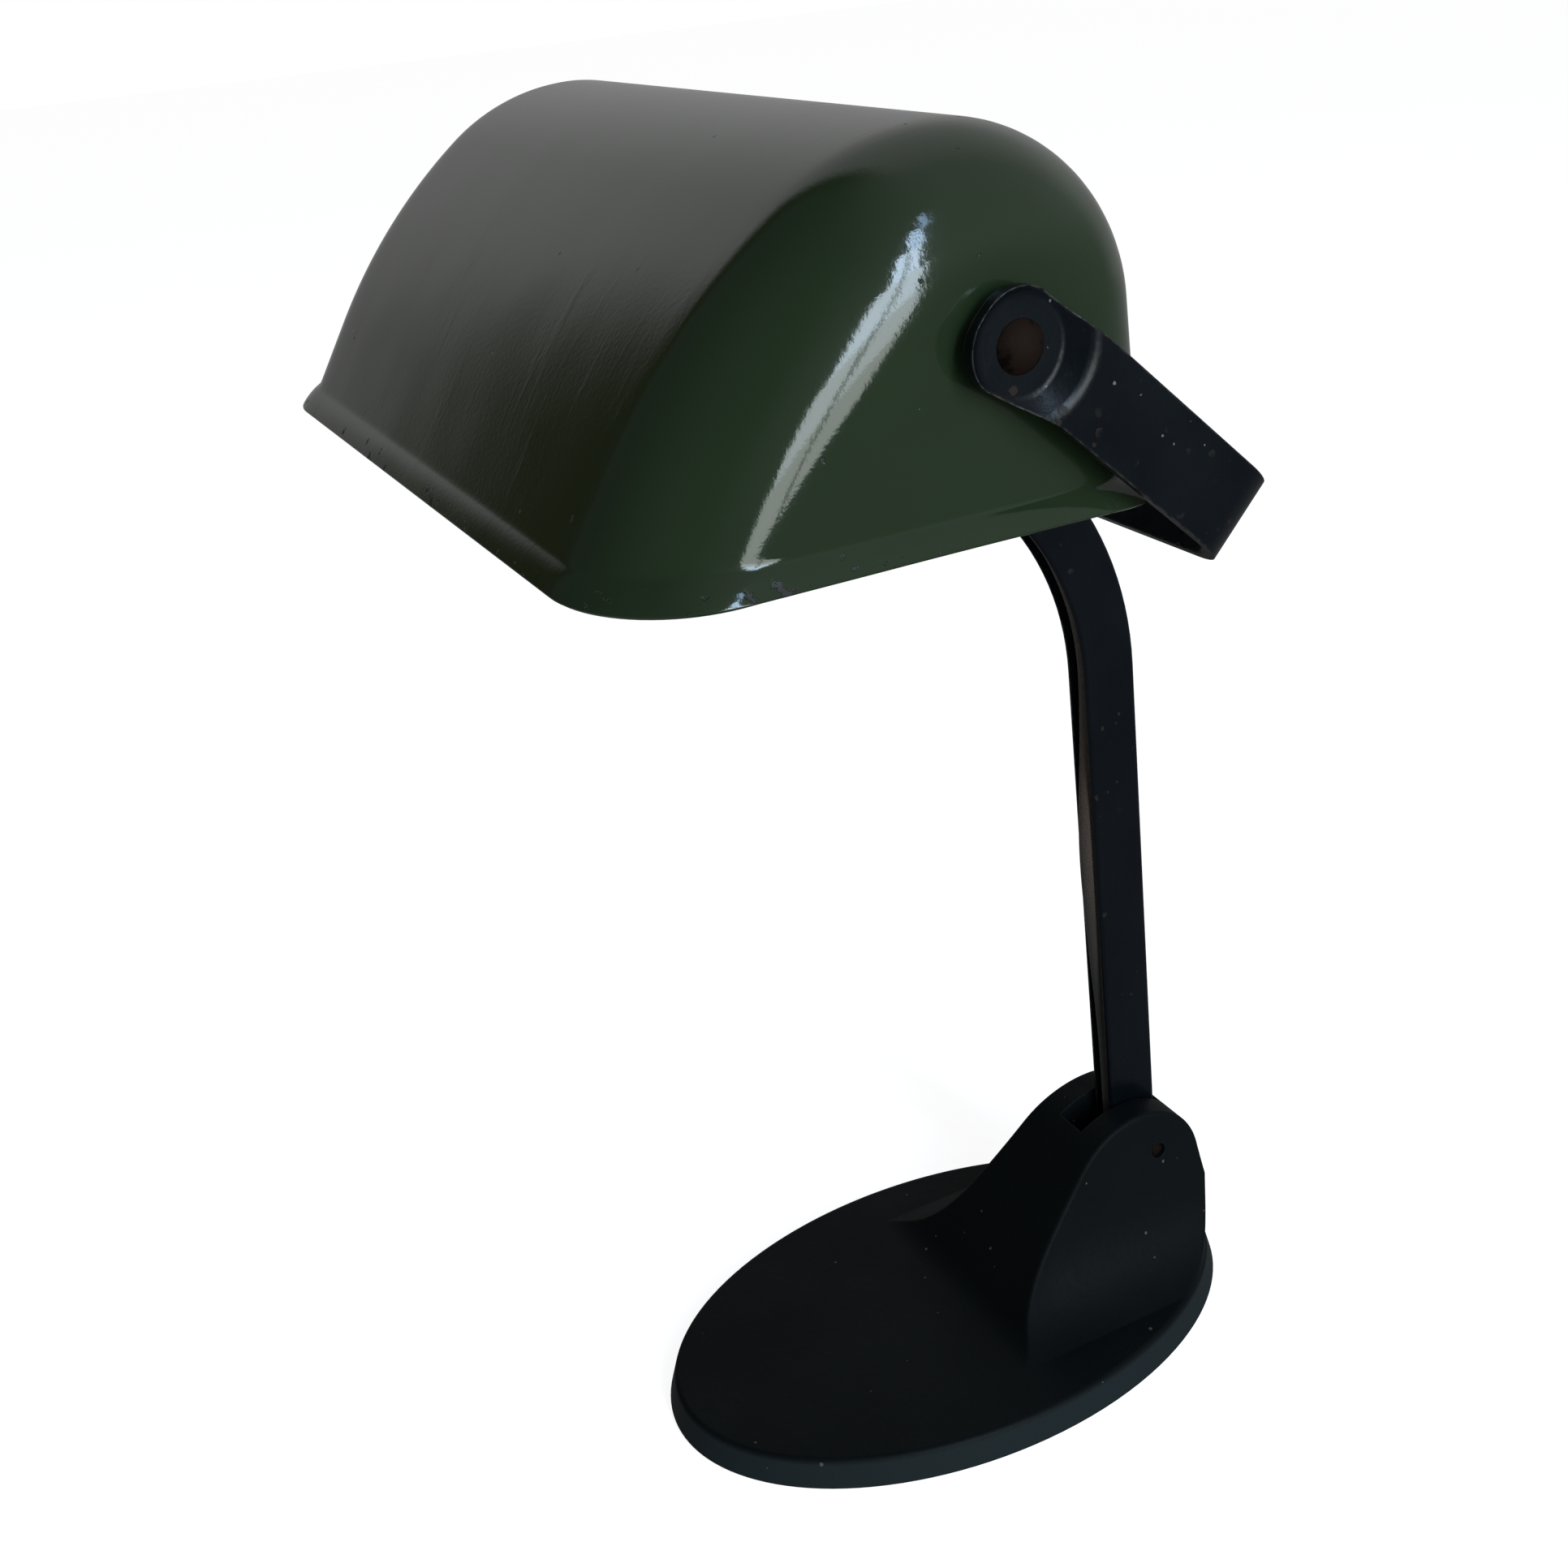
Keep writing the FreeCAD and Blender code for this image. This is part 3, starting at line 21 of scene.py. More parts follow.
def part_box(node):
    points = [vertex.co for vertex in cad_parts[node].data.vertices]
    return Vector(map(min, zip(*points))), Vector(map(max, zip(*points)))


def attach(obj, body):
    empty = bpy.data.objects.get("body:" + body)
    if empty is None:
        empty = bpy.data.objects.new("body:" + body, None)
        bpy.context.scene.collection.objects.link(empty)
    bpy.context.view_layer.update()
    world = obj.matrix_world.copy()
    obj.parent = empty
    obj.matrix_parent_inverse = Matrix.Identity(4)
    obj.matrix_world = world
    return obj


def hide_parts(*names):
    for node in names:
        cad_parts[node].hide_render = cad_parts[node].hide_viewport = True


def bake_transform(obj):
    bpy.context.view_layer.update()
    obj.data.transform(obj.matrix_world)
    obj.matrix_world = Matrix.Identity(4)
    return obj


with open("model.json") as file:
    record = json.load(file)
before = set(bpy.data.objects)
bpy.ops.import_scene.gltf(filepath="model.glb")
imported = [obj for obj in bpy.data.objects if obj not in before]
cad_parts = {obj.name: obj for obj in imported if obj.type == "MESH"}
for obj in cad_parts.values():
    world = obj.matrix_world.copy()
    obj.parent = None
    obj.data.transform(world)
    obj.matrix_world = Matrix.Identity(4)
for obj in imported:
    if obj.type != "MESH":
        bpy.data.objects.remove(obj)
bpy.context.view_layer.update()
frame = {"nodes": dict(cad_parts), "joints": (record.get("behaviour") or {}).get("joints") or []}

log = logging.getLogger("desk_lamp")

Point = tuple[float, float, float]
Colour = tuple[float, float, float, float]
Span = tuple[float, float]
Socket = bpy.types.NodeSocket
Value = Union[float, Point, Colour, Socket]
Inputs = dict[Union[str, int], Value]

WHITE: Colour = (1.0, 1.0, 1.0, 1.0)


class Side(Enum):
    """The two ends of the shade, by the sign of their X."""

    LEFT = -1
    RIGHT = 1


class Mark(Enum):
    """Names of the shader groups that several finishes share."""

    WEAR = "edge_wear"
    SPECKS = "specks"
    GRAIN = "grain"
    STREAKS = "streaks"


# ---- meshes -------------------------------------------------------------------

def joint_place(name: str) -> np.ndarray:
    """Place of a joint of the frame.

    Args:
        name: The joint's name.

    Returns:
        A point on its axis.
    """
    found = next(joint for joint in frame["joints"] if joint["name"] == name)
    return np.array(found["pos_m"], float)


def grid_faces(rows: int, columns: int, first: int = 0, ring: bool = False) -> np.ndarray:
    """Quads of a grid whose points are stored row by row.

    Corner (i, j) is joined to (i, j + 1), (i + 1, j + 1) and (i + 1, j).

    Args:
        rows: Number of rows of points.
        columns: Number of points in a row.
        first: Index of the grid's first point.
        ring: Whether the last column joins the first.

    Returns:
        An array of four point indices for each face.
    """
    steps = columns if ring else columns - 1
    row, column = np.meshgrid(np.arange(rows - 1), np.arange(steps), indexing="ij")
    after = (column + 1) % columns
    near = first + row * columns
    far = near + columns
    return np.stack([near + column, near + after, far + after, far + column], -1).reshape(-1, 4)


def quadratic(start: np.ndarray, control: np.ndarray, end: np.ndarray,
              share: np.ndarray) -> np.ndarray:
    """Rows of a quadratic curve: (1 - t)^2 start + 2 t (1 - t) control + t^2 end.

    Args:
        start: First row of points.
        control: Row that the curve leans towards.
        end: Last row of points.
        share: Values of t.

    Returns:
        One row of points for each t.
    """
    share = share[:, None, None]
    return (1 - share) ** 2 * start + 2 * share * (1 - share) * control + share ** 2 * end


def add_object(name: str, data: bpy.types.ID) -> bpy.types.Object:
    """New object that holds the data, linked to the scene.

    Args:
        name: The object's name.
        data: Its mesh, curve, camera or lamp.

    Returns:
        The object.
    """
    piece = bpy.data.objects.new(name, data)
    bpy.context.scene.collection.objects.link(piece)
    return piece


def mesh_piece(name: str, points: np.ndarray, faces: np.ndarray) -> bpy.types.Object:
    """New smooth piece from arrays of points and faces.

    Args:
        name: The piece's name.
        points: Points, one in a row.
        faces: Point indices, one face in a row.

    Returns:
        The piece, linked to the scene.
    """
    mesh = bpy.data.meshes.new(name)
    mesh.from_pydata(points.reshape(-1, 3).tolist(), [], faces.tolist())
    mesh.shade_smooth()
    return add_object(name, mesh)


@contextmanager
def reworked(piece: bpy.types.Object) -> Iterator[bmesh.types.BMesh]:
    """Opens a piece's mesh for editing, then turns its faces outwards and writes it back.

    Args:
        piece: The piece.

    Yields:
        The mesh to edit.
    """
    work = bmesh.new()
    work.from_mesh(piece.data)
    yield work
    bmesh.ops.recalc_face_normals(work, faces=work.faces)
    work.to_mesh(piece.data)
    work.free()


# ---- shader trees ---------------------------------------------------------------

class Graph:
    """A node tree, with one call that adds a node and fills its inputs."""

    def __init__(self, tree: bpy.types.NodeTree) -> None:
        """Keeps the tree and empties it."""
        self.tree = tree
        tree.nodes.clear()

    def add(self, kind: str, inputs: Optional[Inputs] = None,
            **settings: object) -> bpy.types.Node:
        """Adds a node.

        Args:
            kind: The node's type, without its "ShaderNode" beginning.
            inputs: Values or sockets by the input's name or number.
            **settings: Properties of the node itself, set before its inputs.

        Returns:
            The new node.
        """
        node = self.tree.nodes.new("ShaderNode" + kind)
        for name, setting in settings.items():
            setattr(node, name, setting)
        for name, value in (inputs or {}).items():
            if isinstance(value, Socket):
                self.tree.links.new(value, node.inputs[name])
            else:
                node.inputs[name].default_value = value
        return node

    def math(self, operation: str, first: Value, second: Value = 0.0,
             clamp: bool = False) -> Socket:
        """Result of a Math node."""
        node = self.add("Math", {0: first, 1: second}, operation=operation, use_clamp=clamp)
        return node.outputs[0]

    def times(self, first: Value, second: Value) -> Socket:
        """Product of two numbers."""
        return self.math("MULTIPLY", first, second)

    def less(self, first: Value, second: Value) -> Socket:
        """First number less the second."""
        return self.math("SUBTRACT", first, second)

    def dot(self, first: Value, second: Value) -> Socket:
        """Dot product of two vectors."""
        node = self.add("VectorMath", {0: first, 1: second}, operation="DOT_PRODUCT")
        return node.outputs["Value"]

    def smooth(self, value: Value, low: Value, high: Value, start: float = 0.0,
               end: float = 1.0) -> Socket:
        """Smooth step from `start` to `end` while the value goes from `low` to `high`."""
        span = {"Value": value, "From Min": low, "From Max": high, "To Min": start, "To Max": end}
        return self.add("MapRange", span, interpolation_type="SMOOTHSTEP").outputs["Result"]

    def mix(self, share: Value, first: Value, second: Value) -> Socket:
        """Mix of two colours."""
        return self.add("Mix", {0: share, 6: first, 7: second}, data_type="RGBA").outputs[2]

    def blend_values(self, share: Value, first: Value, second: Value) -> Socket:
        """Mix of two numbers."""
        return self.add("Mix", {0: share, 2: first, 3: second}, data_type="FLOAT").outputs[0]

    def cover(self, under: Value, mask: Value, colour: Value, amount: float) -> Socket:
        """Colour laid over another where the mask is, as thickly as the amount says."""
        return self.mix(self.times(mask, amount), under, colour)

    def stretch(self, vector: Value, scale: Point, turn: Point = (0.0, 0.0, 0.0)) -> Socket:
        """Coordinates turned and stretched by a Mapping node."""
        node = self.add("Mapping", {"Vector": vector, "Scale": scale, "Rotation": turn})
        return node.outputs[0]

    def noise(self, vector: Value, scale: Value, detail: float = 2.0,
              roughness: float = 0.5) -> Socket:
        """Height of a noise texture."""
        inputs = {"Vector": vector, "Scale": scale, "Detail": detail, "Roughness": roughness}
        return self.add("TexNoise", inputs).outputs["Fac"]

    def part(self, vector: Value, axis: str) -> Socket:
        """One coordinate of a vector."""
        return self.add("SeparateXYZ", {0: vector}).outputs[axis]

    def group(self, mark: Mark, place: Value, **numbers: float) -> Socket:
        """Output of a shared group, given its numbers by their names in small letters."""
        inputs = {name.capitalize(): value for name, value in numbers.items()}
        return self.add("Group", {"Place": place, **inputs},
                        node_tree=bpy.data.node_groups[mark.value]).outputs[0]

    def rounded(self, radius: Value, samples: int = 4) -> Socket:
        """Normal that rounds the edges by this radius."""
        return self.add("Bevel", {"Radius": radius}, samples=samples).outputs[0]

    def bump(self, height: Value, depth: float, strength: float,
             normal: Optional[Value] = None) -> Socket:
        """Normal of a Bump node.

        Args:
            height: Height of the surface, from 0 to 1.
            depth: What a height of 1 stands for, in metres.
            strength: Share of the bump that is kept.
            normal: Normal under the bump, if it isn't the piece's own.

        Returns:
            The new normal.
        """
        inputs: Inputs = {"Strength": strength, "Distance": depth, "Height": height}
        if normal is not None:
            inputs["Normal"] = normal
        return self.add("Bump", inputs).outputs[0]

    def principled(self, colour: Value, rough: Value, normal: Value,
                   inputs: Optional[Inputs] = None) -> bpy.types.Node:
        """Principled shader with these inputs and any further ones."""
        return self.add("BsdfPrincipled", {"Base Color": colour, "Roughness": rough,
                                           "Normal": normal, **(inputs or {})})

    def send(self, shader: bpy.types.Node, output: str = "OutputMaterial") -> None:
        """Sends the shader to the tree's output."""
        self.add(output, {"Surface": shader.outputs[0]})


def toned(colour: Colour, factor: float) -> Colour:
    """The colour times a factor, with no part over 1."""
    return tuple(min(1.0, factor * part) for part in colour[:3]) + (1.0,)


def new_group(mark: Mark, *numbers: str) -> tuple[Graph, bpy.types.NodeOutputs]:
    """New shader group that takes a place and some numbers.

    Args:
        mark: The group.
        *numbers: Names of the numbers.

    Returns:
        The group's graph, and what the group is given, by name.
    """
    tree = bpy.data.node_groups.new(mark.value, "ShaderNodeTree")
    tree.interface.new_socket("Place", in_out="INPUT", socket_type="NodeSocketVector")
    for name in numbers:
        tree.interface.new_socket(name, in_out="INPUT", socket_type="NodeSocketFloat")
    graph = Graph(tree)
    return graph, tree.nodes.new("NodeGroupInput").outputs


def close_group(graph: Graph, name: str, value: Socket) -> None:
    """Sends a number to the group's output, which gets this name."""
    graph.tree.interface.new_socket(name, in_out="OUTPUT", socket_type="NodeSocketFloat")
    graph.tree.links.new(value, graph.tree.nodes.new("NodeGroupOutput").inputs[0])


def build_wear_group() -> None:
    """Worn edges: the turn between a rounded and the true normal, broken up by noise."""
    lift = 2.4
    graph, given = new_group(Mark.WEAR, "Radius", "Scale", "Start", "End")
    true = graph.add("NewGeometry").outputs["Normal"]
    bend = graph.less(1.0, graph.dot(graph.rounded(given["Radius"], samples=6), true))
    broken = graph.noise(given["Place"], given["Scale"], detail=4.0, roughness=0.65)
    lifted = graph.times(bend, graph.smooth(broken, 0.35, 0.7, 0.0, lift))
    over = graph.less(lifted, given["Start"])
    span = graph.less(given["End"], given["Start"])
    close_group(graph, "Mask", graph.math("DIVIDE", over, span, clamp=True))


def build_speck_group() -> None:
    """Scattered round specks: cells whose own random value is under the share kept."""
    wobble_scale, wobble_reach, sharpness = 900.0, 0.0008, 40.0
    graph, given = new_group(Mark.SPECKS, "Scale", "Size", "Share")
    wobble = graph.add("TexNoise", {"Vector": given["Place"], "Scale": wobble_scale})
    moved = graph.add("VectorMath", {0: wobble.outputs["Color"], 1: (wobble_reach,) * 3,
                                     2: given["Place"]}, operation="MULTIPLY_ADD")
    cells = graph.add("TexVoronoi", {"Vector": moved.outputs[0], "Scale": given["Scale"]}).outputs
    chance = graph.add("SeparateColor", {0: cells["Color"]}).outputs
    inside = graph.less(graph.times(given["Size"], chance["Green"]), cells["Distance"])
    spot = graph.math("MULTIPLY", inside, sharpness, clamp=True)
    kept = graph.math("LESS_THAN", chance["Red"], given["Share"])
    close_group(graph, "Mask", graph.times(spot, kept))


def build_grain_group() -> None:
    """Orange peel: a coarse and a fine noise added as one height."""
    graph, given = new_group(Mark.GRAIN, "Coarse", "Fine", "Share")
    coarse, fine = (graph.noise(given["Place"], given[name]) for name in ("Coarse", "Fine"))
    close_group(graph, "Height", graph.math("ADD", coarse, graph.times(fine, given["Share"])))


def build_streak_group() -> None:
    """Fine runs: noise stretched down the slope, kept where a broad noise is high."""
    graph, given = new_group(Mark.STREAKS, "Scale")
    drawn = graph.stretch(given["Place"], scale=(5.0, 0.55, 0.8), turn=(0.0, 0.0, 0.12))
    runs = graph.noise(drawn, given["Scale"], detail=5.0, roughness=0.6)
    kept = graph.smooth(graph.noise(given["Place"], scale=18.0), 0.4, 0.65)
    close_group(graph, "Mask", graph.times(graph.smooth(runs, 0.5, 0.78), kept))


# ---- finishes -----------------------------------------------------------------

@dataclass(frozen=True)
class Finish:
    """What every finish has: a name, a base colour and how rough it is."""

    name: str
    colour: Colour
    roughness: float

    def build(self) -> bpy.types.Material:
        """Makes the material, with the shader that the finish dresses it in.

        Returns:
            The material.
        """
        material = bpy.data.materials.new(self.name)
        material.use_nodes = True
        material.diffuse_color = self.colour
        graph = Graph(material.node_tree)
        graph.send(self.dress(graph, graph.add("TexCoord").outputs["Object"]))
        return material

    def dress(self, graph: Graph, place: Socket) -> bpy.types.Node:
        """Shader of the finish, made in the graph from Object coordinates."""
        raise NotImplementedError


@dataclass(frozen=True)
class CastPaint(Finish):
    """Satin blue-black paint over the skin of a sand casting."""

    speck: Colour = (0.16, 0.15, 0.13, 1.0)
    worn: Colour = (0.030, 0.041, 0.046, 1.0)
    # Paler colour and height span of the lowest band of the side: painted sheen for the floor's
    # reflection.
    painted_sheen: Colour = (0.019, 0.027, 0.030, 1.0)
    painted_sheen_levels: Span = (0.0070, 0.0088)
    gloss: float = 0.07

    def dress(self, graph: Graph, place: Socket) -> bpy.types.Node:
        """Peel and sand bump, dust specks, rubbed edges, and a paler band low on the side that is
        painted sheen, standing in for the floor's reflection.

        Args:
            graph: The material's graph.
            place: Object coordinates.

        Returns:
            The shader.
        """
        cloud = graph.noise(place, scale=22.0, detail=3.0)
        rubbed = graph.group(Mark.WEAR, place, radius=0.0009, scale=260.0, start=0.03, end=0.5)
        dust = graph.group(Mark.SPECKS, place, scale=200.0, size=0.12, share=0.4)
        paint = graph.mix(graph.smooth(cloud, 0.3, 0.7), toned(self.colour, 0.72), self.colour)
        paint = graph.cover(paint, rubbed, self.worn, amount=0.5)
        # Painted sheen: the side is paler below the band's top, as if lit by the floor's
        # reflection.
        painted_sheen = graph.smooth(graph.part(place, "Z"), *self.painted_sheen_levels, 1.0, 0.0)
        paint = graph.mix(painted_sheen, paint, self.painted_sheen)
        paint = graph.cover(paint, dust, self.speck, amount=0.7)
        rough = graph.smooth(cloud, 0.25, 0.75, self.roughness + 0.05, self.roughness - 0.05)
        peel = graph.group(Mark.GRAIN, place, coarse=520.0, fine=2600.0, share=0.35)
        sand = graph.noise(place, scale=90.0)
        wave = graph.bump(sand, depth=0.0004, strength=0.5, normal=graph.rounded(0.0006))
        normal = graph.bump(peel, depth=0.00012, strength=0.7, normal=wave)
        return graph.principled(paint, rough, normal,
                                {"IOR": 1.5, "Specular IOR Level": self.gloss})


@dataclass(frozen=True)
class Lacquer(Finish):
    """Thin black lacquer on pressed steel, rubbed through and rusty at its edges."""

    rust: Colour = (0.055, 0.028, 0.015, 1.0)
    bare: Colour = (0.16, 0.155, 0.15, 1.0)
    nick: Colour = (0.2, 0.21, 0.2, 1.0)
    gloss: float = 0.24

    def dress(self, graph: Graph, place: Socket) -> bpy.types.Node:
        """Rubbed crests, rust at the edges, freckles and nicks.

        Args:
            graph: The material's graph.
            place: Object coordinates.

        Returns:
            The shader.
        """
        cloud = graph.noise(place, scale=45.0, detail=3.0)
        edges = graph.group(Mark.WEAR, place, radius=0.0011, scale=330.0, start=0.05, end=0.45)
        crests = graph.group(Mark.WEAR, place, radius=0.0007, scale=700.0, start=0.12, end=0.4)
        freckles = graph.group(Mark.SPECKS, place, scale=420.0, size=0.4, share=0.4)
        nicks = graph.group(Mark.SPECKS, place, scale=300.0, size=0.11, share=0.25)
        patch = graph.noise(place, scale=60.0, detail=4.0, roughness=0.65)
        rusty = graph.times(freckles, graph.smooth(patch, 0.5, 0.64))
        rusty = graph.math("MAXIMUM", rusty, graph.times(edges, 0.8))
        paint = graph.mix(graph.smooth(cloud, 0.3, 0.7), toned(self.colour, 0.75), self.colour)
        paint = graph.cover(paint, rusty, self.rust, amount=0.45)
        paint = graph.cover(paint, crests, self.bare, amount=0.55)
        paint = graph.cover(paint, nicks, self.nick, amount=0.8)
        sheen = graph.smooth(cloud, 0.2, 0.8, self.roughness - 0.06, self.roughness + 0.08)
        rough = graph.blend_values(rusty, sheen, 0.75)
        peel = graph.group(Mark.GRAIN, place, coarse=260.0, fine=1700.0, share=0.3)
        wave = graph.bump(peel, depth=0.00012, strength=0.6, normal=graph.rounded(0.0004))
        scabs = graph.math("ADD", rusty, nicks)
        normal = graph.bump(scabs, depth=0.00015, strength=0.5, normal=wave)
        return graph.principled(paint, rough, normal, {"Metallic": graph.times(crests, 0.5),
                                                       "Specular IOR Level": self.gloss})


@dataclass(frozen=True)
class Metal(Finish):
    """Bare or plated metal with fine grain and tarnish in patches."""

    tarnish: Colour = (0.05, 0.03, 0.02, 1.0)
    spread: float = 0.5
    gloss: float = 0.5

    def dress(self, graph: Graph, place: Socket) -> bpy.types.Node:
        """Tarnish patches, dull where they are, and fine scratches.

        Args:
            graph: The material's graph.
            place: Object coordinates.

        Returns:
            The shader.
        """
        patch = graph.noise(place, scale=240.0, detail=4.0, roughness=0.6)
        share = graph.smooth(patch, 0.72 - 0.4 * self.spread, 0.9 - 0.4 * self.spread)
        edges = graph.group(Mark.WEAR, place, radius=0.0005, scale=900.0, start=0.05, end=0.5)
        tint = graph.mix(share, self.colour, self.tarnish)
        tint = graph.cover(tint, edges, toned(self.colour, 1.5), amount=0.3)
        rough = graph.blend_values(share, self.roughness, min(self.roughness + 0.35, 0.85))
        metal = graph.less(1.0, graph.times(share, 0.7))
        fine = graph.noise(graph.stretch(place, (1.0, 1.0, 6.0)), scale=900.0, detail=3.0)
        pits = graph.math("ADD", graph.times(fine, 0.4), patch)
        normal = graph.bump(pits, depth=0.0001, strength=0.6, normal=graph.rounded(0.0003))
        return graph.principled(tint, rough, normal,
                                {"Metallic": metal, "Specular IOR Level": self.gloss})


@dataclass(frozen=True)
class Enamel(Finish):
    """Vitreous enamel fired on steel: deep gloss, orange peel, pits and chipped rim."""

    deep: Colour = (0.02, 0.03, 0.012, 1.0)
    iron: Colour = (0.012, 0.010, 0.009, 1.0)
    fleck: Colour = (0.3, 0.29, 0.24, 1.0)
    rim_level: float = 0.271
    chips: float = 1.0

    def dress(self, graph: Graph, place: Socket) -> bpy.types.Node:
        """Clouded colour, runs, pits, flecks and chips at the rim.

        Args:
            graph: The material's graph.
            place: Object coordinates.

        Returns:
            The shader.
        """
        cloud = graph.noise(place, scale=14.0, detail=3.0)
        runs = graph.group(Mark.STREAKS, place, scale=60.0)
        drawn = graph.stretch(place, (1.5, 0.8, 0.9))
        pits = graph.group(Mark.SPECKS, drawn, scale=190.0, size=0.13, share=0.2)
        flecks = graph.group(Mark.SPECKS, place, scale=150.0, size=0.075, share=0.12)
        bare = graph.math("MAXIMUM", self.chipped(graph, place), graph.times(pits, 0.85))
        tint = graph.mix(graph.smooth(cloud, 0.35, 0.7), self.deep, self.colour)
        tint = graph.mix(bare, tint, self.iron)
        tint = graph.cover(tint, flecks, self.fleck, amount=0.8)
        gloss = graph.smooth(runs, 0.0, 1.0, self.roughness, self.roughness + 0.12)
        rough = graph.blend_values(bare, gloss, 0.6)
        peel = graph.group(Mark.GRAIN, place, coarse=1050.0, fine=2600.0, share=0.3)
        wave = graph.noise(place, scale=28.0, detail=1.0)
        bowed = graph.bump(wave, depth=0.0006, strength=0.35)
        skin = graph.bump(peel, depth=0.00004, strength=0.3, normal=bowed)
        scar = graph.less(graph.times(runs, 0.08), bare)
        normal = graph.bump(scar, depth=0.00022, strength=0.8, normal=skin)
        return graph.principled(tint, rough, normal, {"IOR": 1.5})

    def chipped(self, graph: Graph, place: Socket) -> Socket:
        """Chips: ragged noise over a threshold, in a low band above the rim.

        Args:
            graph: The material's graph.
            place: Object coordinates.

        Returns:
            1 where the enamel is off and 0 elsewhere.
        """
        bottom, top = self.rim_level + 0.0008, self.rim_level + 0.0045
        low = graph.smooth(graph.part(place, "Z"), bottom, top, 1.0, 0.0)
        ragged = graph.noise(place, scale=300.0, detail=4.0, roughness=0.6)
        broad = graph.noise(place, scale=26.0, detail=1.0)
        spread = graph.smooth(broad, 0.45, 0.62, 0.0, 0.09)
        near = graph.math("ADD", graph.times(low, 0.1), spread)
        chip = graph.smooth(graph.math("ADD", ragged, near), 0.76, 0.79)
        return graph.times(graph.times(chip, low), self.chips)


@dataclass(frozen=True)
class Moulded(Finish):
    """Fibre, porcelain, black glass or a moulded bushing: one body colour, a little uneven."""

    grain: float = 700.0
    depth: float = 0.00005
    spread: float = 0.25

    def dress(self, graph: Graph, place: Socket) -> bpy.types.Node:
        """Mottled colour and a fine skin.

        Args:
            graph: The material's graph.
            place: Object coordinates.

        Returns:
            The shader.
        """
        mottle = graph.noise(place, scale=160.0, detail=4.0)
        darker = toned(self.colour, 1.0 - self.spread)
        tint = graph.mix(graph.smooth(mottle, 0.3, 0.7), darker, self.colour)
        rough = graph.smooth(mottle, 0.3, 0.7, self.roughness + 0.06, self.roughness)
        skin = graph.group(Mark.GRAIN, place, coarse=self.grain, fine=4.0 * self.grain, share=0.4)
        return graph.principled(tint, rough, graph.bump(skin, self.depth, strength=0.6))


@dataclass(frozen=True)
class Felt(Finish):
    """Pressed wool felt: short tangled fibres."""

    def dress(self, graph: Graph, place: Socket) -> bpy.types.Node:
        """Fibre tangle in colour and height.

        Args:
            graph: The material's graph.
            place: Object coordinates.

        Returns:
            The shader.
        """
        fibres = graph.stretch(place, (1.0, 1.0, 3.0))
        tangle = graph.noise(fibres, scale=1500.0, detail=5.0, roughness=0.75)
        patch = graph.noise(place, scale=60.0, detail=3.0)
        tint = graph.mix(graph.smooth(tangle, 0.35, 0.7), self.colour, toned(self.colour, 1.9))
        rough = graph.smooth(patch, 0.3, 0.7, self.roughness, 1.0)
        normal = graph.bump(tangle, depth=0.0003, strength=0.9)
        return graph.principled(tint, rough, normal, {"Sheen Weight": 0.4})


@dataclass(frozen=True)
class ClearGlass(Finish):
    """Blown lamp glass with a faint wave and a little dust."""

    def dress(self, graph: Graph, place: Socket) -> bpy.types.Node:
        """Clear, with dust where the noise is high.

        Args:
            graph: The material's graph.
            place: Object coordinates.

        Returns:
            The shader.
        """
        dust = graph.smooth(graph.noise(place, scale=120.0, detail=4.0), 0.5, 0.8)
        rough = graph.smooth(dust, 0.0, 1.0, self.roughness, self.roughness + 0.12)
        wave = graph.noise(place, scale=35.0, detail=1.0)
        normal = graph.bump(wave, depth=0.0004, strength=0.3)
        return graph.principled(self.colour, rough, normal,
                                {"IOR": 1.45, "Transmission Weight": 1.0})


@dataclass(frozen=True)
class Braid(Finish):
    """Cotton braid round a lead, worked out from the piece's own UV map.

    U goes once round and V is the distance along, in metres.
    """

    light: Colour = (0.11, 0.068, 0.042, 1.0)
    fluff: Colour = (0.04, 0.025, 0.017, 1.0)
    # Painted shade: near-black tone for the lead's first stretch, through the foot and up the
    # lower arm channel.
    painted_shade: Colour = (0.006, 0.005, 0.0045, 1.0)
    painted_shade_span: Span = (0.09, 0.15)
    strands: float = 8.0
    pitch: float = 0.009

    def dress(self, graph: Graph, place: Socket) -> bpy.types.Node:
        """Two crossing sets of strands, one over the other in turn, darkened low down by painted
        shade.

        Args:
            graph: The material's graph.
            place: Object coordinates.

        Returns:
            The shader.
        """
        wrap = graph.add("UVMap", uv_map="wrap").outputs[0]
        along = graph.part(wrap, "Y")
        turn = graph.times(graph.part(wrap, "X"), self.strands)
        run = graph.times(along, self.strands / self.pitch)
        right = self.strand(graph, graph.math("ADD", turn, run))
        left = self.strand(graph, graph.less(turn, run))
        height = graph.math("MAXIMUM", right, left)
        over = graph.smooth(graph.less(right, left), -0.2, 0.2)
        fluff = graph.noise(place, scale=1800.0, detail=4.0, roughness=0.7)
        pattern = graph.mix(over, self.colour, self.light)
        tint = graph.mix(graph.smooth(fluff, 0.3, 0.75), pattern, self.fluff)
        # Painted shade: the braid darkens towards the foot end of the lead.
        tint = graph.mix(graph.smooth(along, *self.painted_shade_span, 0.85, 0.0), tint, self.painted_shade)
        rough = graph.smooth(height, 0.0, 1.0, 0.95, self.roughness)
        raised = graph.math("ADD", height, graph.times(fluff, 0.4))
        normal = graph.bump(raised, depth=0.0003, strength=0.9)
        return graph.principled(tint, rough, normal, {"Sheen Weight": 0.25})

    def strand(self, graph: Graph, phase: Socket) -> Socket:
        """Rounded height of one set of strands: half a sine over each strand's width."""
        wave = graph.math("SINE", graph.times(phase, math.tau))
        return graph.math("POWER", graph.math("ABSOLUTE", wave), 0.6)


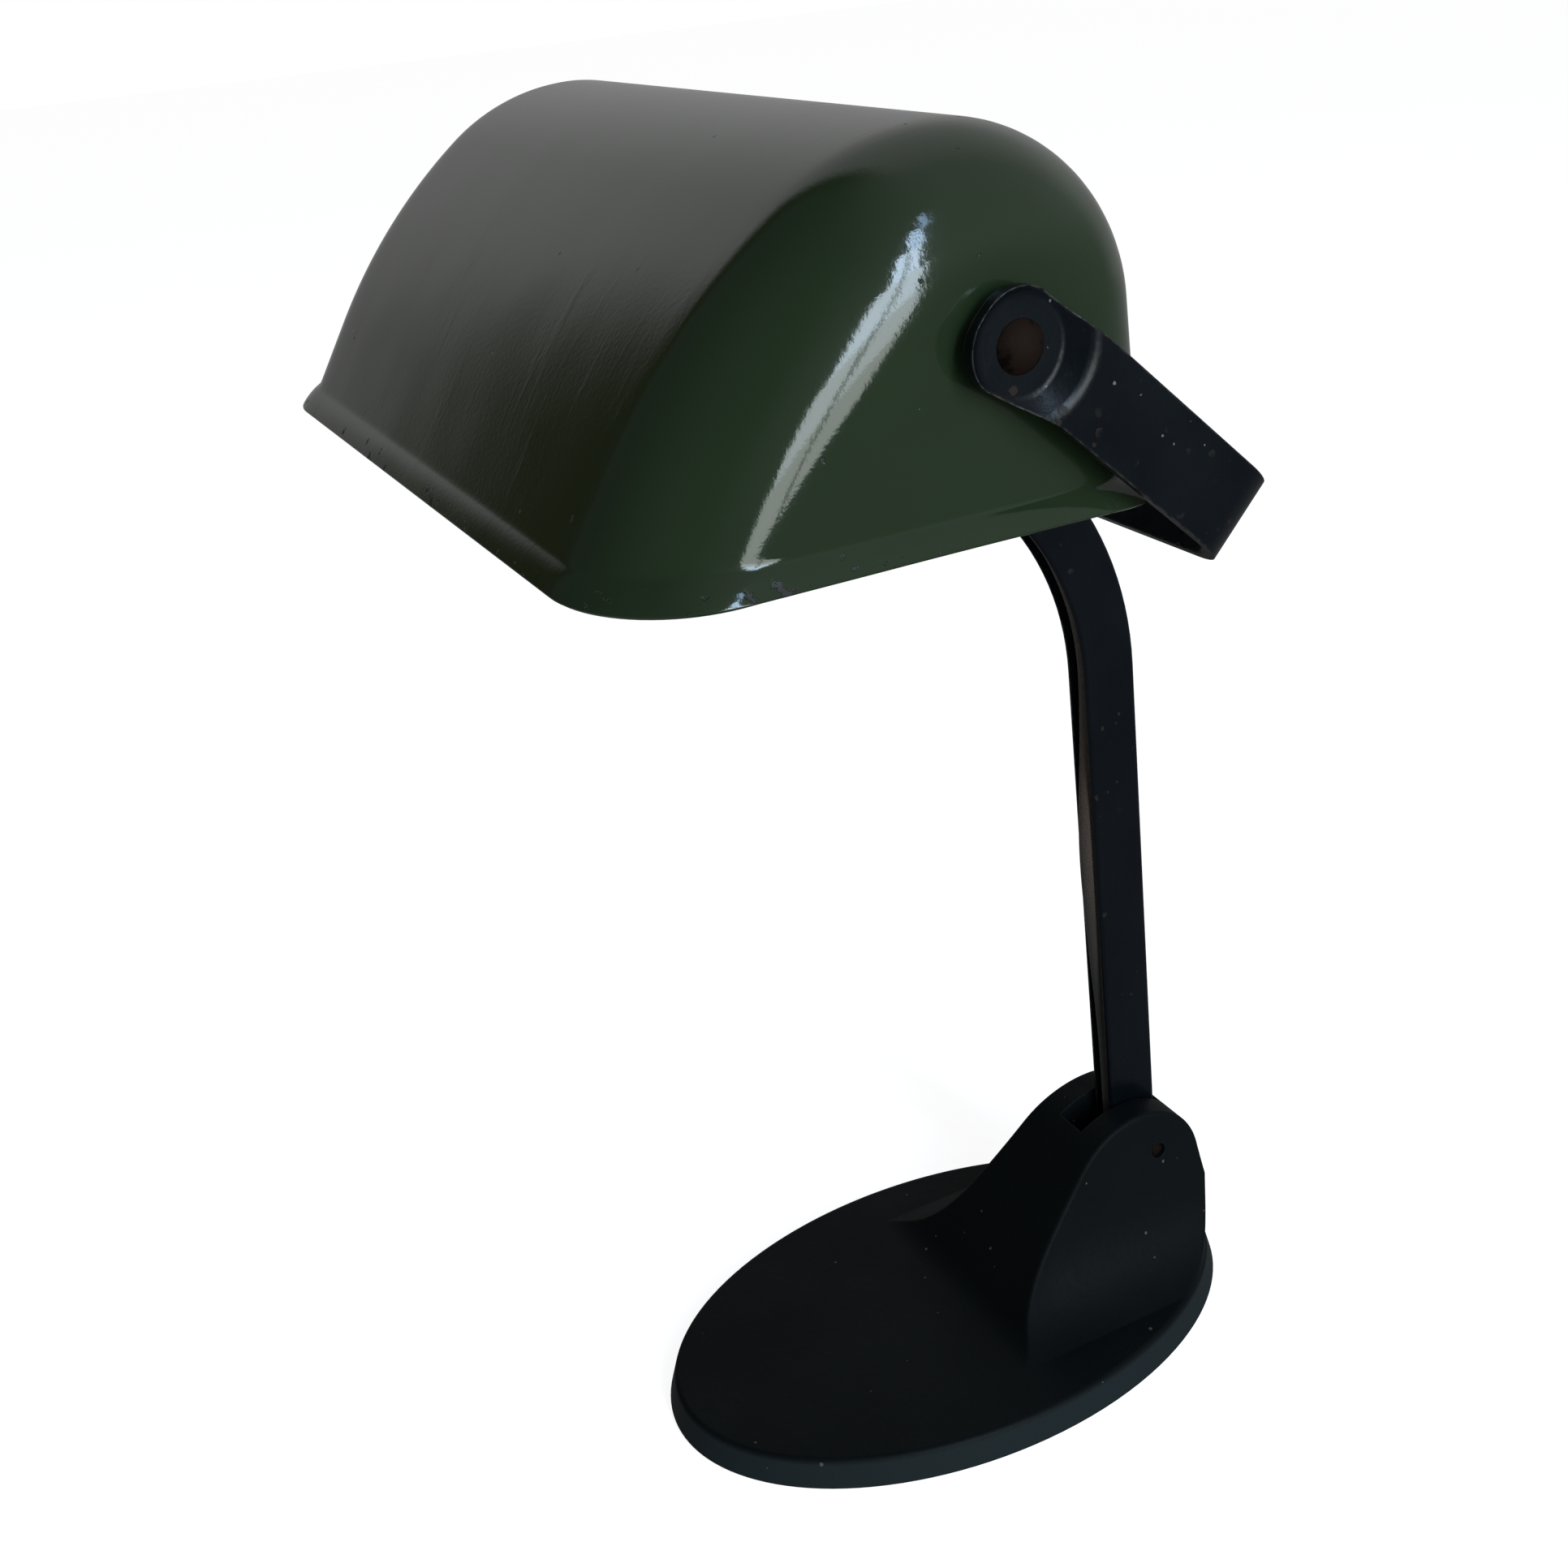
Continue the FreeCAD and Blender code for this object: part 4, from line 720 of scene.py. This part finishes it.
def build_finishes() -> dict[str, bpy.types.Material]:
    """Builds the shared groups, then one material for each of the record's slots.

    Returns:
        Materials by slot name, and the shade's inner enamel as "enamel_inside".
    """
    for build_group in (build_wear_group, build_speck_group, build_grain_group,
                        build_streak_group):
        build_group()
    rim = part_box("shade_shell")[0].z
    finishes = (
        CastPaint("cast_paint", (0.0056, 0.0080, 0.0091, 1.0), 0.5),
        Felt("felt", (0.012, 0.02, 0.014, 1.0), 0.95),
        Lacquer("lacquered_steel", (0.0026, 0.0052, 0.0082, 1.0), 0.28),
        Metal("dark_steel", (0.020, 0.015, 0.013, 1.0), 0.4, tarnish=(0.016, 0.008, 0.005, 1.0),
              spread=1.0, gloss=0.15),
        Metal("plain_steel", (0.5, 0.5, 0.5, 1.0), 0.28, tarnish=(0.12, 0.1, 0.08, 1.0),
              spread=0.45),
        Moulded("fibre", (0.02, 0.016, 0.013, 1.0), 0.6),
        Enamel("enamel", (0.0224, 0.0385, 0.0180, 1.0), 0.085,
               deep=(0.0185, 0.0325, 0.0150, 1.0), rim_level=rim),
        Enamel("enamel_inside", (0.68, 0.67, 0.62, 1.0), 0.12,
               deep=(0.6, 0.585, 0.53, 1.0), rim_level=rim, chips=0.6),
        Metal("brass", (0.62, 0.42, 0.17, 1.0), 0.25, tarnish=(0.2, 0.12, 0.05, 1.0)),
        Moulded("porcelain", (0.8, 0.78, 0.72, 1.0), 0.15, grain=300.0, depth=0.00003,
                spread=0.06),
        Metal("cap_metal", (0.7, 0.7, 0.7, 1.0), 0.22, tarnish=(0.4, 0.4, 0.38, 1.0), spread=0.3),
        Moulded("cap_glass", (0.012, 0.012, 0.013, 1.0), 0.08, grain=300.0, depth=0.00002),
        ClearGlass("bulb_glass", (0.98, 0.99, 0.98, 1.0), 0.0),
        Metal("filament_wire", (0.3, 0.3, 0.31, 1.0), 0.35, tarnish=(0.15, 0.15, 0.16, 1.0),
              spread=0.4),
        Moulded("bushing", (0.012, 0.012, 0.013, 1.0), 0.3),
        Braid("lead_cover", (0.050, 0.029, 0.018, 1.0), 0.8))
    return {finish.name: finish.build() for finish in finishes}


# ---- shade --------------------------------------------------------------------

@dataclass
class Shade:
    """Enamelled shade: a barrel of arcs, blended into flat ends, with a flared rim."""

    half: float = 0.1024
    sheet: float = 0.0012
    corner: float = 0.0235
    crest: Span = (0.0015, 0.0326)
    crest_radius: float = 0.0494
    crest_turn: float = math.radians(36.5)
    front_radius: float = 0.132
    front_slope: float = math.radians(58.0)
    rear_radius: float = 0.0342
    rear_slope: float = math.radians(85.0)
    crease: float = -0.0270
    softness: float = 0.0012
    bulge: float = 0.0007
    flare_level: float = -0.0234
    flare_front: float = 0.0042
    flare_rear: float = 0.0016
    rim_corner: float = 0.025
    rim_rear_corner: float = 0.019
    bore: float = 0.00255
    edge_round: float = 0.00045
    edge_angle: float = math.radians(50.0)
    seam: float = 2e-6
    lip_start: float = 0.12
    lip_rows: int = 12
    bend_rows: int = 7
    ring_rows: int = 14
    ring_power: float = 1.3
    samples: tuple[int, int, int, int] = (40, 30, 44, 16)
    corner_steps: int = 22
    barrel_steps: int = 40
    end_steps: int = 46

    def __post_init__(self) -> None:
        """Takes the pivot, the rim's level and its reach from the frame."""
        low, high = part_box("shade_shell")
        self.pivot = joint_place("shade_tilt")
        self.rim = low.z - self.pivot[2]
        self.reach = high.x

    def outline(self, inset: np.ndarray, floor: float) -> np.ndarray:
        """Side outline of the barrel, set in by a distance and cut at a level.

        It is the front wall, the crest arc, the rear arc and the rear line. Each arc keeps
        its centre and loses the inset from its radius. The front wall is sampled by height:
        above the end of the front arc it lies on that arc, where the distance across is the
        root of the radius squared less the height squared, and below it the wall runs
        straight down its slope.

        Args:
            inset: How far the outline is set in, one value for each column.
            floor: Level of the cut, from the pivot.

        Returns:
            Points (y, z) from the pivot, by column and along the outline.
        """
        inset = np.asarray(inset, float)[:, None]
        upright = math.pi / 2
        over = upright + self.crest_turn
        down = upright + self.front_slope
        crest_centre = np.array([self.crest[0], self.crest[1] - self.crest_radius])
        rear_centre = np.array([self.crest[0], self.crest[1] - self.rear_radius])
        shift = self.front_radius - self.crest_radius
        front_centre = crest_centre - shift * np.array([math.cos(over), math.sin(over)])

        def arc(centre: np.ndarray, radius: float, start: float, end: float,
                steps: int) -> np.ndarray:
            """Points on an arc whose radius loses the inset, without its last one.

            Args:
                centre: Centre of the arc (y, z).
                radius: Radius before the inset is taken off.
                start: First angle, from +Y towards +Z.
                end: Last angle.
                steps: Number of points.

            Returns:
                Points (y, z), by column and along the arc.
            """
            turn = np.linspace(start, end, steps, endpoint=False)[None, :]
            reach = radius - inset
            return np.stack([centre[0] + reach * np.cos(turn),
                             centre[1] + reach * np.sin(turn)], -1)

        wall_steps, crest_steps, rear_steps, line_steps = self.samples
        reach = self.front_radius - inset
        top = front_centre[1] + reach * math.sin(over)
        share = np.linspace(0.0, 1.0, wall_steps, endpoint=False)[None, :]
        level = floor + (top - floor) * share
        arc_foot = front_centre + np.stack([reach * math.cos(down), reach * math.sin(down)], -1)
        rise = (np.maximum(level, arc_foot[..., 1]) - front_centre[1]) / reach
        across = front_centre[0] - reach * np.sqrt(1.0 - rise ** 2)
        below = np.minimum(level - arc_foot[..., 1], 0.0)
        wall = np.stack([across + below / math.tan(self.front_slope), level], -1)

        rear_top = arc(rear_centre, self.rear_radius, upright - self.rear_slope, 0.0, 1)
        drop = rear_top[..., 1] - floor
        foot = np.stack([rear_top[..., 0] + drop / math.tan(self.rear_slope),
                         np.full_like(drop, floor)], -1)
        fall = np.linspace(0.0, 1.0, line_steps)[None, :, None]
        return np.concatenate([
            wall,
            arc(crest_centre, self.crest_radius, over, upright, crest_steps),
            arc(rear_centre, self.rear_radius, upright, upright - self.rear_slope, rear_steps),
            rear_top + (foot - rear_top) * fall], axis=1)

    def columns(self) -> tuple[np.ndarray, np.ndarray, np.ndarray]:
        """Stations along the shade: corner, barrel, corner.

        In a corner of radius r, turned by a, the station is half - r + r sin a and the
        outline is set in by r (1 - cos a).

        Returns:
            The stations, their insets and their turns, which are negative on the left.
        """
        turn = np.linspace(0.0, math.pi / 2, self.corner_steps)
        flat = self.half - self.corner
        middle = np.linspace(-flat, flat, self.barrel_steps)[1:-1]
        bend = flat + self.corner * np.sin(turn)
        depth = self.corner * (1.0 - np.cos(turn))
        stations = np.concatenate([-bend[::-1], middle, bend])
        insets = np.concatenate([depth[::-1], np.zeros_like(middle), depth])
        turns = np.concatenate([-turn[::-1], np.zeros_like(middle), turn])
        return stations, insets, turns

    def place(self, x: np.ndarray, y: np.ndarray, z: np.ndarray) -> np.ndarray:
        """Points of the row frame from stations and distances from the pivot."""
        x, y, z = np.broadcast_arrays(x, y, z)
        return np.stack([x, y + self.pivot[1], z + self.pivot[2]], -1)

    def barrel(self, floor: float) -> np.ndarray:
        """Grid of the barrel and its corners.

        Args:
            floor: Level at which it ends, from the pivot.

        Returns:
            Points by column and along the outline.
        """
        stations, insets, _ = self.columns()
        side = self.outline(insets, floor)
        return self.place(stations[:, None], side[..., 0], side[..., 1])

    def loop(self, floor: float) -> np.ndarray:
        """Closed loop of the barrel's wall at one level."""
        grid = self.barrel(floor)
        return self.closed(grid[:, 0], grid[:, -1])

    def straight(self, start: np.ndarray, end: np.ndarray) -> np.ndarray:
        """Points evenly between two points, without the two."""
        share = np.linspace(0.0, 1.0, self.end_steps)[1:-1, None]
        return start + (end - start) * share

    def closed(self, front: np.ndarray, rear: np.ndarray) -> np.ndarray:
        """Closed loop of a front and a rear row: front, right, rear, left."""
        right, left = self.straight(front[-1], rear[-1]), self.straight(rear[0], front[0])
        return np.concatenate([front, right, rear[::-1], left])

    def rim_loop(self) -> np.ndarray:
        """Loop of the rim, point for point with the wall's loop.

        Corners take the turns of the barrel's corners, and straights are shared evenly. The
        front edge stands off the middle between the wall at `flare_level` and at the rim.

        Returns:
            One point for each point of the wall's loop.
        """
        stations, _, turns = self.columns()
        flat = self.half - self.corner
        level_front = self.outline(np.zeros(1), self.flare_level)[0, 0, 0]
        low = self.outline(np.zeros(1), self.rim)[0]
        front = (level_front + low[0, 0]) / 2 - self.flare_front
        rear = low[-1, 0] + self.flare_rear

        def row(edge: float, radius: float, side: float) -> np.ndarray:
            """Front or rear row of the rim: corner arc, straight, corner arc.

            Args:
                edge: The straight's distance from the pivot along Y.
                radius: Radius of the corners.
                side: 1 where the corners turn towards +Y, -1 where towards -Y.

            Returns:
                One point for each column of the barrel.
            """
            straight = self.reach - radius
            across = np.where(turns == 0.0, stations * straight / flat,
                              np.sign(turns) * straight + radius * np.sin(turns))
            inwards = radius * (1.0 - np.cos(turns))
            return self.place(across, edge + side * inwards, np.full_like(across, self.rim))

        return self.closed(row(front, self.rim_corner, 1.0),
                           row(rear, self.rim_rear_corner, -1.0))

    def lip(self) -> np.ndarray:
        """Grid from the wall's end over a soft crease to the rim.

        The lip is a quadratic curve from the crease C to the rim R, whose middle control
        point stands off the chord's middle by `bulge`, outwards and up, so that it flares
        first and steepens towards the edge. The crease itself is a quadratic curve from a
        point `softness` above it to the point at `lip_start` of the lip.

        Returns:
            Rows of points from the wall down to the rim.
        """
        above = self.loop(self.crease + self.softness)
        crease = self.loop(self.crease)
        rim = self.rim_loop()
        chord = rim - crease
        level = np.linalg.norm(chord[:, :2], axis=1, keepdims=True)
        away = np.concatenate([chord[:, :2] / level * np.abs(chord[:, 2:]), level], axis=1)
        away /= np.linalg.norm(away, axis=1, keepdims=True)
        middle = (crease + rim) / 2 + self.bulge * away

        below = quadratic(crease, middle, rim, np.array([self.lip_start]))[0]
        bend = quadratic(above, crease, below, np.linspace(0.0, 1.0, self.bend_rows))
        down = np.linspace(self.lip_start, 1.0, self.lip_rows)[1:]
        return np.concatenate([bend, quadratic(crease, middle, rim, down)])

    def end(self, side: Side) -> np.ndarray:
        """Flat end as rings from the rivet's bore out to the corner's inner edge.

        Args:
            side: Which end.

        Returns:
            Rings of points, drawn closer together near the bore.
        """
        grid = self.barrel(self.crease + self.softness)
        edge = grid[-1] if side is Side.RIGHT else grid[0]
        loop = np.concatenate([edge, self.straight(edge[-1], edge[0])])
        centre = np.array([loop[0, 0], self.pivot[1], self.pivot[2]])
        arm = loop - centre
        hole = centre + self.bore * arm / np.linalg.norm(arm, axis=1, keepdims=True)
        ring = np.linspace(0.0, 1.0, self.ring_rows)[:, None, None] ** self.ring_power
        return hole + (loop - hole) * ring

    def build(self, outside: bpy.types.Material, inside: bpy.types.Material) -> bpy.types.Object:
        """Joins the patches, gives the sheet its thickness and rounds its edges.

        Args:
            outside: Material of the outer enamel.
            inside: Material of the inner enamel.

        Returns:
            The shade.
        """
        barrel = self.barrel(self.crease + self.softness)
        grids = [(barrel, False), (self.lip(), True),
                 (self.end(Side.RIGHT), True), (self.end(Side.LEFT), True)]
        points: list[np.ndarray] = []
        faces: list[np.ndarray] = []
        first = 0
        for grid, ring in grids:
            rows, columns = grid.shape[:2]
            points.append(grid.reshape(-1, 3))
            faces.append(grid_faces(rows, columns, first, ring))
            first += rows * columns
        piece = mesh_piece("shade_enamel", np.concatenate(points), np.concatenate(faces))
        with reworked(piece) as work:
            bmesh.ops.remove_doubles(work, verts=work.verts, dist=self.seam)
        piece.data.materials.append(outside)
        piece.data.materials.append(inside)
        self.face_outwards(piece)
        wall = piece.modifiers.new("wall", "SOLIDIFY")
        wall.thickness = self.sheet
        wall.offset = -1.0
        wall.material_offset = 1
        wall.material_offset_rim = 0
        edge = piece.modifiers.new("edge", "BEVEL")
        edge.width = self.edge_round
        edge.segments = 3
        edge.limit_method = "ANGLE"
        edge.angle_limit = self.edge_angle
        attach(piece, "shade")
        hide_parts("shade_shell")
        return piece

    def face_outwards(self, piece: bpy.types.Object) -> None:
        """Turns the open shell over if its faces point in at the middle of the crest."""
        top = max(piece.data.polygons, key=lambda face: face.center.z)
        if top.normal.z < 0:
            piece.data.flip_normals()


# ---- lead ---------------------------------------------------------------------

@dataclass
class Lead:
    """Braided lead from the foot's bushing, up the channel arm and round to the lampholder."""

    diameter: float = 0.0046
    sides: int = 20
    route: tuple[Point, ...] = (
        (0.0, 0.0824, 0.0150), (0.0, 0.0690, 0.0150), (0.0, 0.0618, 0.0192),
        (0.0, 0.0576, 0.0264), (0.0, 0.0576, 0.0350), (0.0, 0.0576, 0.0426),
        (0.0, 0.0569, 0.0546), (0.0, 0.0555, 0.0786), (0.0, 0.0518, 0.1104),
        (0.0, 0.0491, 0.1403), (0.0, 0.0503, 0.1704), (0.0, 0.0495, 0.1991),
        (0.0, 0.0408, 0.2222), (0.0, 0.0273, 0.2407), (0.0, 0.0172, 0.2457),
        (-0.0008, 0.0066, 0.2489), (-0.0076, -0.0011, 0.2515), (-0.0200, -0.0044, 0.2529),
        (-0.0420, -0.0061, 0.2527), (-0.0660, -0.0104, 0.2502), (-0.0840, -0.0173, 0.2574),
        (-0.0930, -0.0259, 0.2712), (-0.0955, -0.0322, 0.2851), (-0.0905, -0.0373, 0.2970),
        (-0.0810, -0.0396, 0.3023), (-0.0700, -0.0396, 0.3023))
    bend_start: Point = (0.0, 0.0576, 0.0350)
    bend_end: Point = (0.0, 0.0569, 0.0546)
    smoothness: int = 12
    slant: Point = (0.35, -0.7, -0.62)

    def centreline(self) -> np.ndarray:
        """Smooth curve that has the route as its control points.

        Returns:
            Points along it, from the foot to the lampholder.
        """
        curve = bpy.data.curves.new("lead_route", "CURVE")
        curve.dimensions = "3D"
        curve.resolution_u = self.smoothness
        spline = curve.splines.new("NURBS")
        spline.points.add(len(self.route) - 1)
        weighted = np.column_stack([np.array(self.route), np.ones(len(self.route))])
        spline.points.foreach_set("co", weighted.ravel())
        spline.order_u = 3
        spline.use_endpoint_u = True
        holder = add_object("lead_route", curve)
        bpy.context.view_layer.update()
        mesh = bpy.data.meshes.new_from_object(holder)
        points = np.empty(len(mesh.vertices) * 3)
        mesh.vertices.foreach_get("co", points)
        bpy.data.objects.remove(holder)
        bpy.data.curves.remove(curve)
        bpy.data.meshes.remove(mesh)
        return points.reshape(-1, 3)

    def build(self, cover: bpy.types.Material) -> bpy.types.Object:
        """Carries a circle along the centreline and closes both ends.

        The circle's own two directions are square to the line's tangent t: one is t
        crossed with `slant`, a direction that the line never takes, and the other is t
        crossed with that.

        Args:
            cover: Material of the braid.

        Returns:
            The lead.
        """
        line = self.centreline()
        ahead = np.gradient(line, axis=0)
        ahead /= np.linalg.norm(ahead, axis=1, keepdims=True)
        across = np.cross(ahead, np.array(self.slant))
        across /= np.linalg.norm(across, axis=1, keepdims=True)
        up = np.cross(ahead, across)
        turn = np.linspace(0.0, math.tau, self.sides, endpoint=False)[None, :, None]
        radius = self.diameter / 2
        tube = line[:, None] + radius * (np.cos(turn) * across[:, None]
                                         + np.sin(turn) * up[:, None])
        piece = mesh_piece("lead_braid", tube, grid_faces(len(line), self.sides, ring=True))
        self.wrap(piece, line)
        self.close_ends(piece)
        piece.data.materials.append(cover)
        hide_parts("lead_base", "lead_bend", "lead_arm")
        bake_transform(piece)
        return piece

    def wrap(self, piece: bpy.types.Object, line: np.ndarray) -> None:
        """Gives each face corner its share of the turn and its distance along the line.

        Args:
            piece: The tube, whose faces go round it ring by ring.
            line: The centreline.
        """
        along = np.concatenate([[0.0], np.cumsum(np.linalg.norm(np.diff(line, axis=0), axis=1))])
        rows, columns = np.meshgrid(np.arange(len(line) - 1), np.arange(self.sides),
                                    indexing="ij")
        turns = np.stack([columns, columns + 1, columns + 1, columns], -1) / self.sides
        runs = np.stack([along[rows], along[rows], along[rows + 1], along[rows + 1]], -1)
        layer = piece.data.uv_layers.new(name="wrap")
        layer.data.foreach_set("uv", np.stack([turns, runs], -1).ravel())

    def close_ends(self, piece: bpy.types.Object) -> None:
        """Fills the two open rings and turns every face outwards."""
        with reworked(piece) as work:
            open_edges = [edge for edge in work.edges if edge.is_boundary]
            bmesh.ops.holes_fill(work, edges=open_edges, sides=0)


# ---- room ---------------------------------------------------------------------

@dataclass
class Camera:
    """View of the lamp from its front right, a little above it."""

    target: Point = (-0.00247, -0.04011, 0.17841)
    distance: float = 0.42763
    azimuth: float = math.radians(65.323)
    elevation: float = math.radians(26.299)
    roll: float = math.radians(-5.394)
    lens: float = 41.406
    sensor: float = 36.0
    near: float = 0.01
    shift: Span = (0.00913, 0.00969)

    def build(self) -> bpy.types.Object:
        """Places the camera on a sphere round the target, and rolls it about its own axis.

        Returns:
            The camera.
        """
        back = Vector((math.sin(self.azimuth) * math.cos(self.elevation),
                       -math.cos(self.azimuth) * math.cos(self.elevation),
                       math.sin(self.elevation)))
        level = Vector((0.0, 0.0, 1.0)).cross(back).normalized()
        upright = back.cross(level)
        right = math.cos(self.roll) * level + math.sin(self.roll) * upright
        over = back.cross(right)
        data = bpy.data.cameras.new("camera")
        data.lens = self.lens
        data.sensor_width = self.sensor
        data.shift_x, data.shift_y = self.shift
        data.clip_start = self.near
        piece = add_object("camera", data)
        axes = Matrix((right, over, back)).transposed().to_4x4()
        piece.matrix_world = Matrix.Translation(Vector(self.target) + self.distance * back) @ axes
        bpy.context.scene.camera = piece
        return piece


@dataclass
class Window:
    """Tall window beside the lamp: two columns of panes parted by a glazing bar."""

    place: Point = (1.42, 0.10, 0.30)
    bar: float = 0.03
    levels: tuple[float, ...] = (0.12, 0.36, 0.62, 0.95, 1.35, 1.80, 2.30)
    widths: tuple[float, ...] = (0.27, 0.24, 0.18, 0.10, 0.05, 0.02)
    shifts: tuple[float, ...] = (0.0, 0.0, 0.01, 0.03, 0.10, 0.24)
    radiance: tuple[float, ...] = (5.0, 8.2, 13.0, 19.0, 24.0, 24.0)
    low_tint: Point = (0.92, 1.0, 0.95)
    high_tint: Point = (0.44, 0.67, 1.0)

    def build(self) -> None:
        """Builds the panes, row by row: brighter and bluer sky higher up."""
        rows = len(self.radiance)
        for row, (low, high) in enumerate(zip(self.levels, self.levels[1:])):
            share = row / (rows - 1)
            tint = tuple(a + (b - a) * share for a, b in zip(self.low_tint, self.high_tint))
            for side in Side:
                across = self.shifts[row] + side.value * (self.widths[row] + self.bar) / 2
                self.add_pane(f"window_{row}_{side.name.lower()}", across, self.widths[row],
                              (low, high), self.radiance[row], tint)

    def add_pane(self, name: str, across: float, width: float, span: Span,
                 radiance: float, tint: Point) -> None:
        """One upright area lamp that faces -X.

        A lamp of area A that sends out P watts has a radiance of P / (pi A).

        Args:
            name: The lamp's name.
            across: Its middle along Y from the window's middle.
            width: Its width along Y.
            span: Heights of its lower and upper edges.
            radiance: How bright it looks.
            tint: Its colour.
        """
        low, high = span
        data = bpy.data.lights.new(name, "AREA")
        data.shape = "RECTANGLE"
        data.size, data.size_y = high - low, width
        data.energy = radiance * math.pi * width * (high - low)
        data.color = tint
        light = add_object(name, data)
        place = Vector((self.place[0], self.place[1] + across, (low + high) / 2))
        axes = Matrix(((0.0, 0.0, 1.0), (0.0, 1.0, 0.0), (-1.0, 0.0, 0.0)))
        light.matrix_world = Matrix.Translation(place) @ axes.to_4x4()


@dataclass
class Studio:
    """White sweep and pale floor, a window on the right and a dim room in front."""

    floor_size: float = 12.0
    floor_grey: float = 0.75
    floor_lift: float = 0.88
    floor_shine: float = 0.15
    far_shine: float = 0.32
    fill_low: float = 0.42
    fill_high: float = 0.085
    side_gain: float = 1.6
    pale: float = 0.36
    far_pale: float = 0.5
    brown: Colour = (0.035, 0.028, 0.008, 1.0)
    dim: Colour = (0.06, 0.075, 0.06, 1.0)
    front: Point = (0.09, -0.996, 0.0)
    tilt: float = 0.4
    floor_turn: Span = (-2.0, 0.5)
    wall_turn: Span = (-0.3, 0.1)
    wall_rise: Span = (0.0, 0.45)
    right_turn: Span = (-0.45, 0.2)
    brown_span: Span = (0.2, 0.36)
    dim_left: Span = (0.36, 0.48)
    dim_right: Span = (0.05, 0.8)
    fill_rise: Span = (-0.1, 0.6)
    side_turn: Span = (0.5, 1.0)

    def build(self) -> None:
        """Builds the floor, the world and the window."""
        self.build_floor()
        self.build_world()
        Window().build()

    def shown(self, graph: Graph) -> Socket:
        """Where the white background stands in: for the camera and through glass."""
        rays = graph.add("LightPath").outputs
        return graph.math("MAXIMUM", rays["Is Camera Ray"], rays["Is Transmission Ray"])

    def build_floor(self) -> None:
        """Flat floor under the lamp, lifted to white for the camera but for its shadow,
        and paler on its left than on its right in reflections."""
        half = self.floor_size / 2
        corners = np.array([(-half, -half, 0.0), (half, -half, 0.0), (half, half, 0.0),
                            (-half, half, 0.0)])
        floor = mesh_piece("floor", corners, np.array([[0, 1, 2, 3]]))
        material = bpy.data.materials.new("floor")
        material.use_nodes = True
        graph = Graph(material.node_tree)
        lift = graph.times(self.shown(graph), self.floor_lift)
        matt = graph.add("BsdfPrincipled", {
            "Base Color": (self.floor_grey,) * 3 + (1.0,), "Roughness": 0.9,
            "Specular IOR Level": 0.0, "Emission Color": WHITE, "Emission Strength": lift})
        across = graph.part(graph.add("TexCoord").outputs["Object"], "X")
        level = graph.smooth(across, *self.floor_turn, self.far_shine, self.floor_shine)
        shine = graph.add("Emission", {"Color": WHITE, "Strength": level})
        mirrored = graph.add("LightPath").outputs["Is Glossy Ray"]
        graph.send(graph.add("MixShader", {0: mirrored, 1: matt.outputs[0],
                                           2: shine.outputs[0]}))
        floor.data.materials.append(material)

    def build_world(self) -> None:
        """White to the camera; for diffuse light a fill that comes mostly from the sides;
        in reflections pale walls at the sides and back, a brown edge and a dim front.

        Each span is where one tone gives way to the next, by a part of the direction. `raised`
        says how far a direction points to the front, leaning up by `tilt`.
        """
        world = bpy.data.worlds.new("studio")
        world.use_nodes = True
        graph = Graph(world.node_tree)
        direction = graph.add("TexCoord").outputs["Generated"]
        height, across = graph.part(direction, "Z"), graph.part(direction, "X")
        raised = graph.math("ADD", graph.dot(direction, self.front),
                            graph.times(height, self.tilt))
        foot = graph.smooth(across, *self.wall_turn, self.far_shine, self.floor_shine)
        head = graph.smooth(across, *self.wall_turn, self.far_pale, self.pale)
        walls = graph.blend_values(graph.smooth(height, *self.wall_rise), foot, head)
        right = graph.smooth(across, *self.right_turn)
        edge = graph.times(graph.smooth(raised, *self.brown_span), graph.less(1.0, right))
        low, high = (graph.blend_values(right, *ends) for ends in zip(self.dim_left,
                                                                      self.dim_right))
        mirrored = graph.mix(edge, walls, self.brown)
        mirrored = graph.mix(graph.smooth(raised, low, high), mirrored, self.dim)
        fill = graph.smooth(height, *self.fill_rise, self.fill_low, self.fill_high)
        side = graph.smooth(across, *self.side_turn, 1.0, 1.0 + self.side_gain)
        glossy = graph.add("LightPath").outputs["Is Glossy Ray"]
        light = graph.mix(glossy, graph.times(fill, side), mirrored)
        light = graph.mix(self.shown(graph), light, WHITE)
        graph.send(graph.add("Background", {"Color": light, "Strength": 1.0}), "OutputWorld")
        bpy.context.scene.world = world


def dress_nodes(finishes: dict[str, bpy.types.Material]) -> None:
    """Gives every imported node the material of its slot.

    Args:
        finishes: Materials by slot name.
    """
    for name, node in frame["nodes"].items():
        for holder in node.material_slots:
            label = holder.material.name.split(".")[0]
            holder.material = finishes[label]
            log.info("%s takes %s", name, label)


def main() -> None:
    """Builds the room, the finishes and the pieces in order."""
    logging.basicConfig(level=logging.INFO, format="%(message)s")
    scene = bpy.context.scene
    scene.view_settings.view_transform = "Standard"
    Camera().build()
    finishes = build_finishes()
    lead = Lead().build(finishes["lead_cover"])
    log.info("built %s", lead.name)
    dress_nodes(finishes)
    shade = Shade().build(finishes["enamel"], finishes["enamel_inside"])
    log.info("built %s", shade.name)
    Studio().build()


if __name__ == "__main__":
    main()
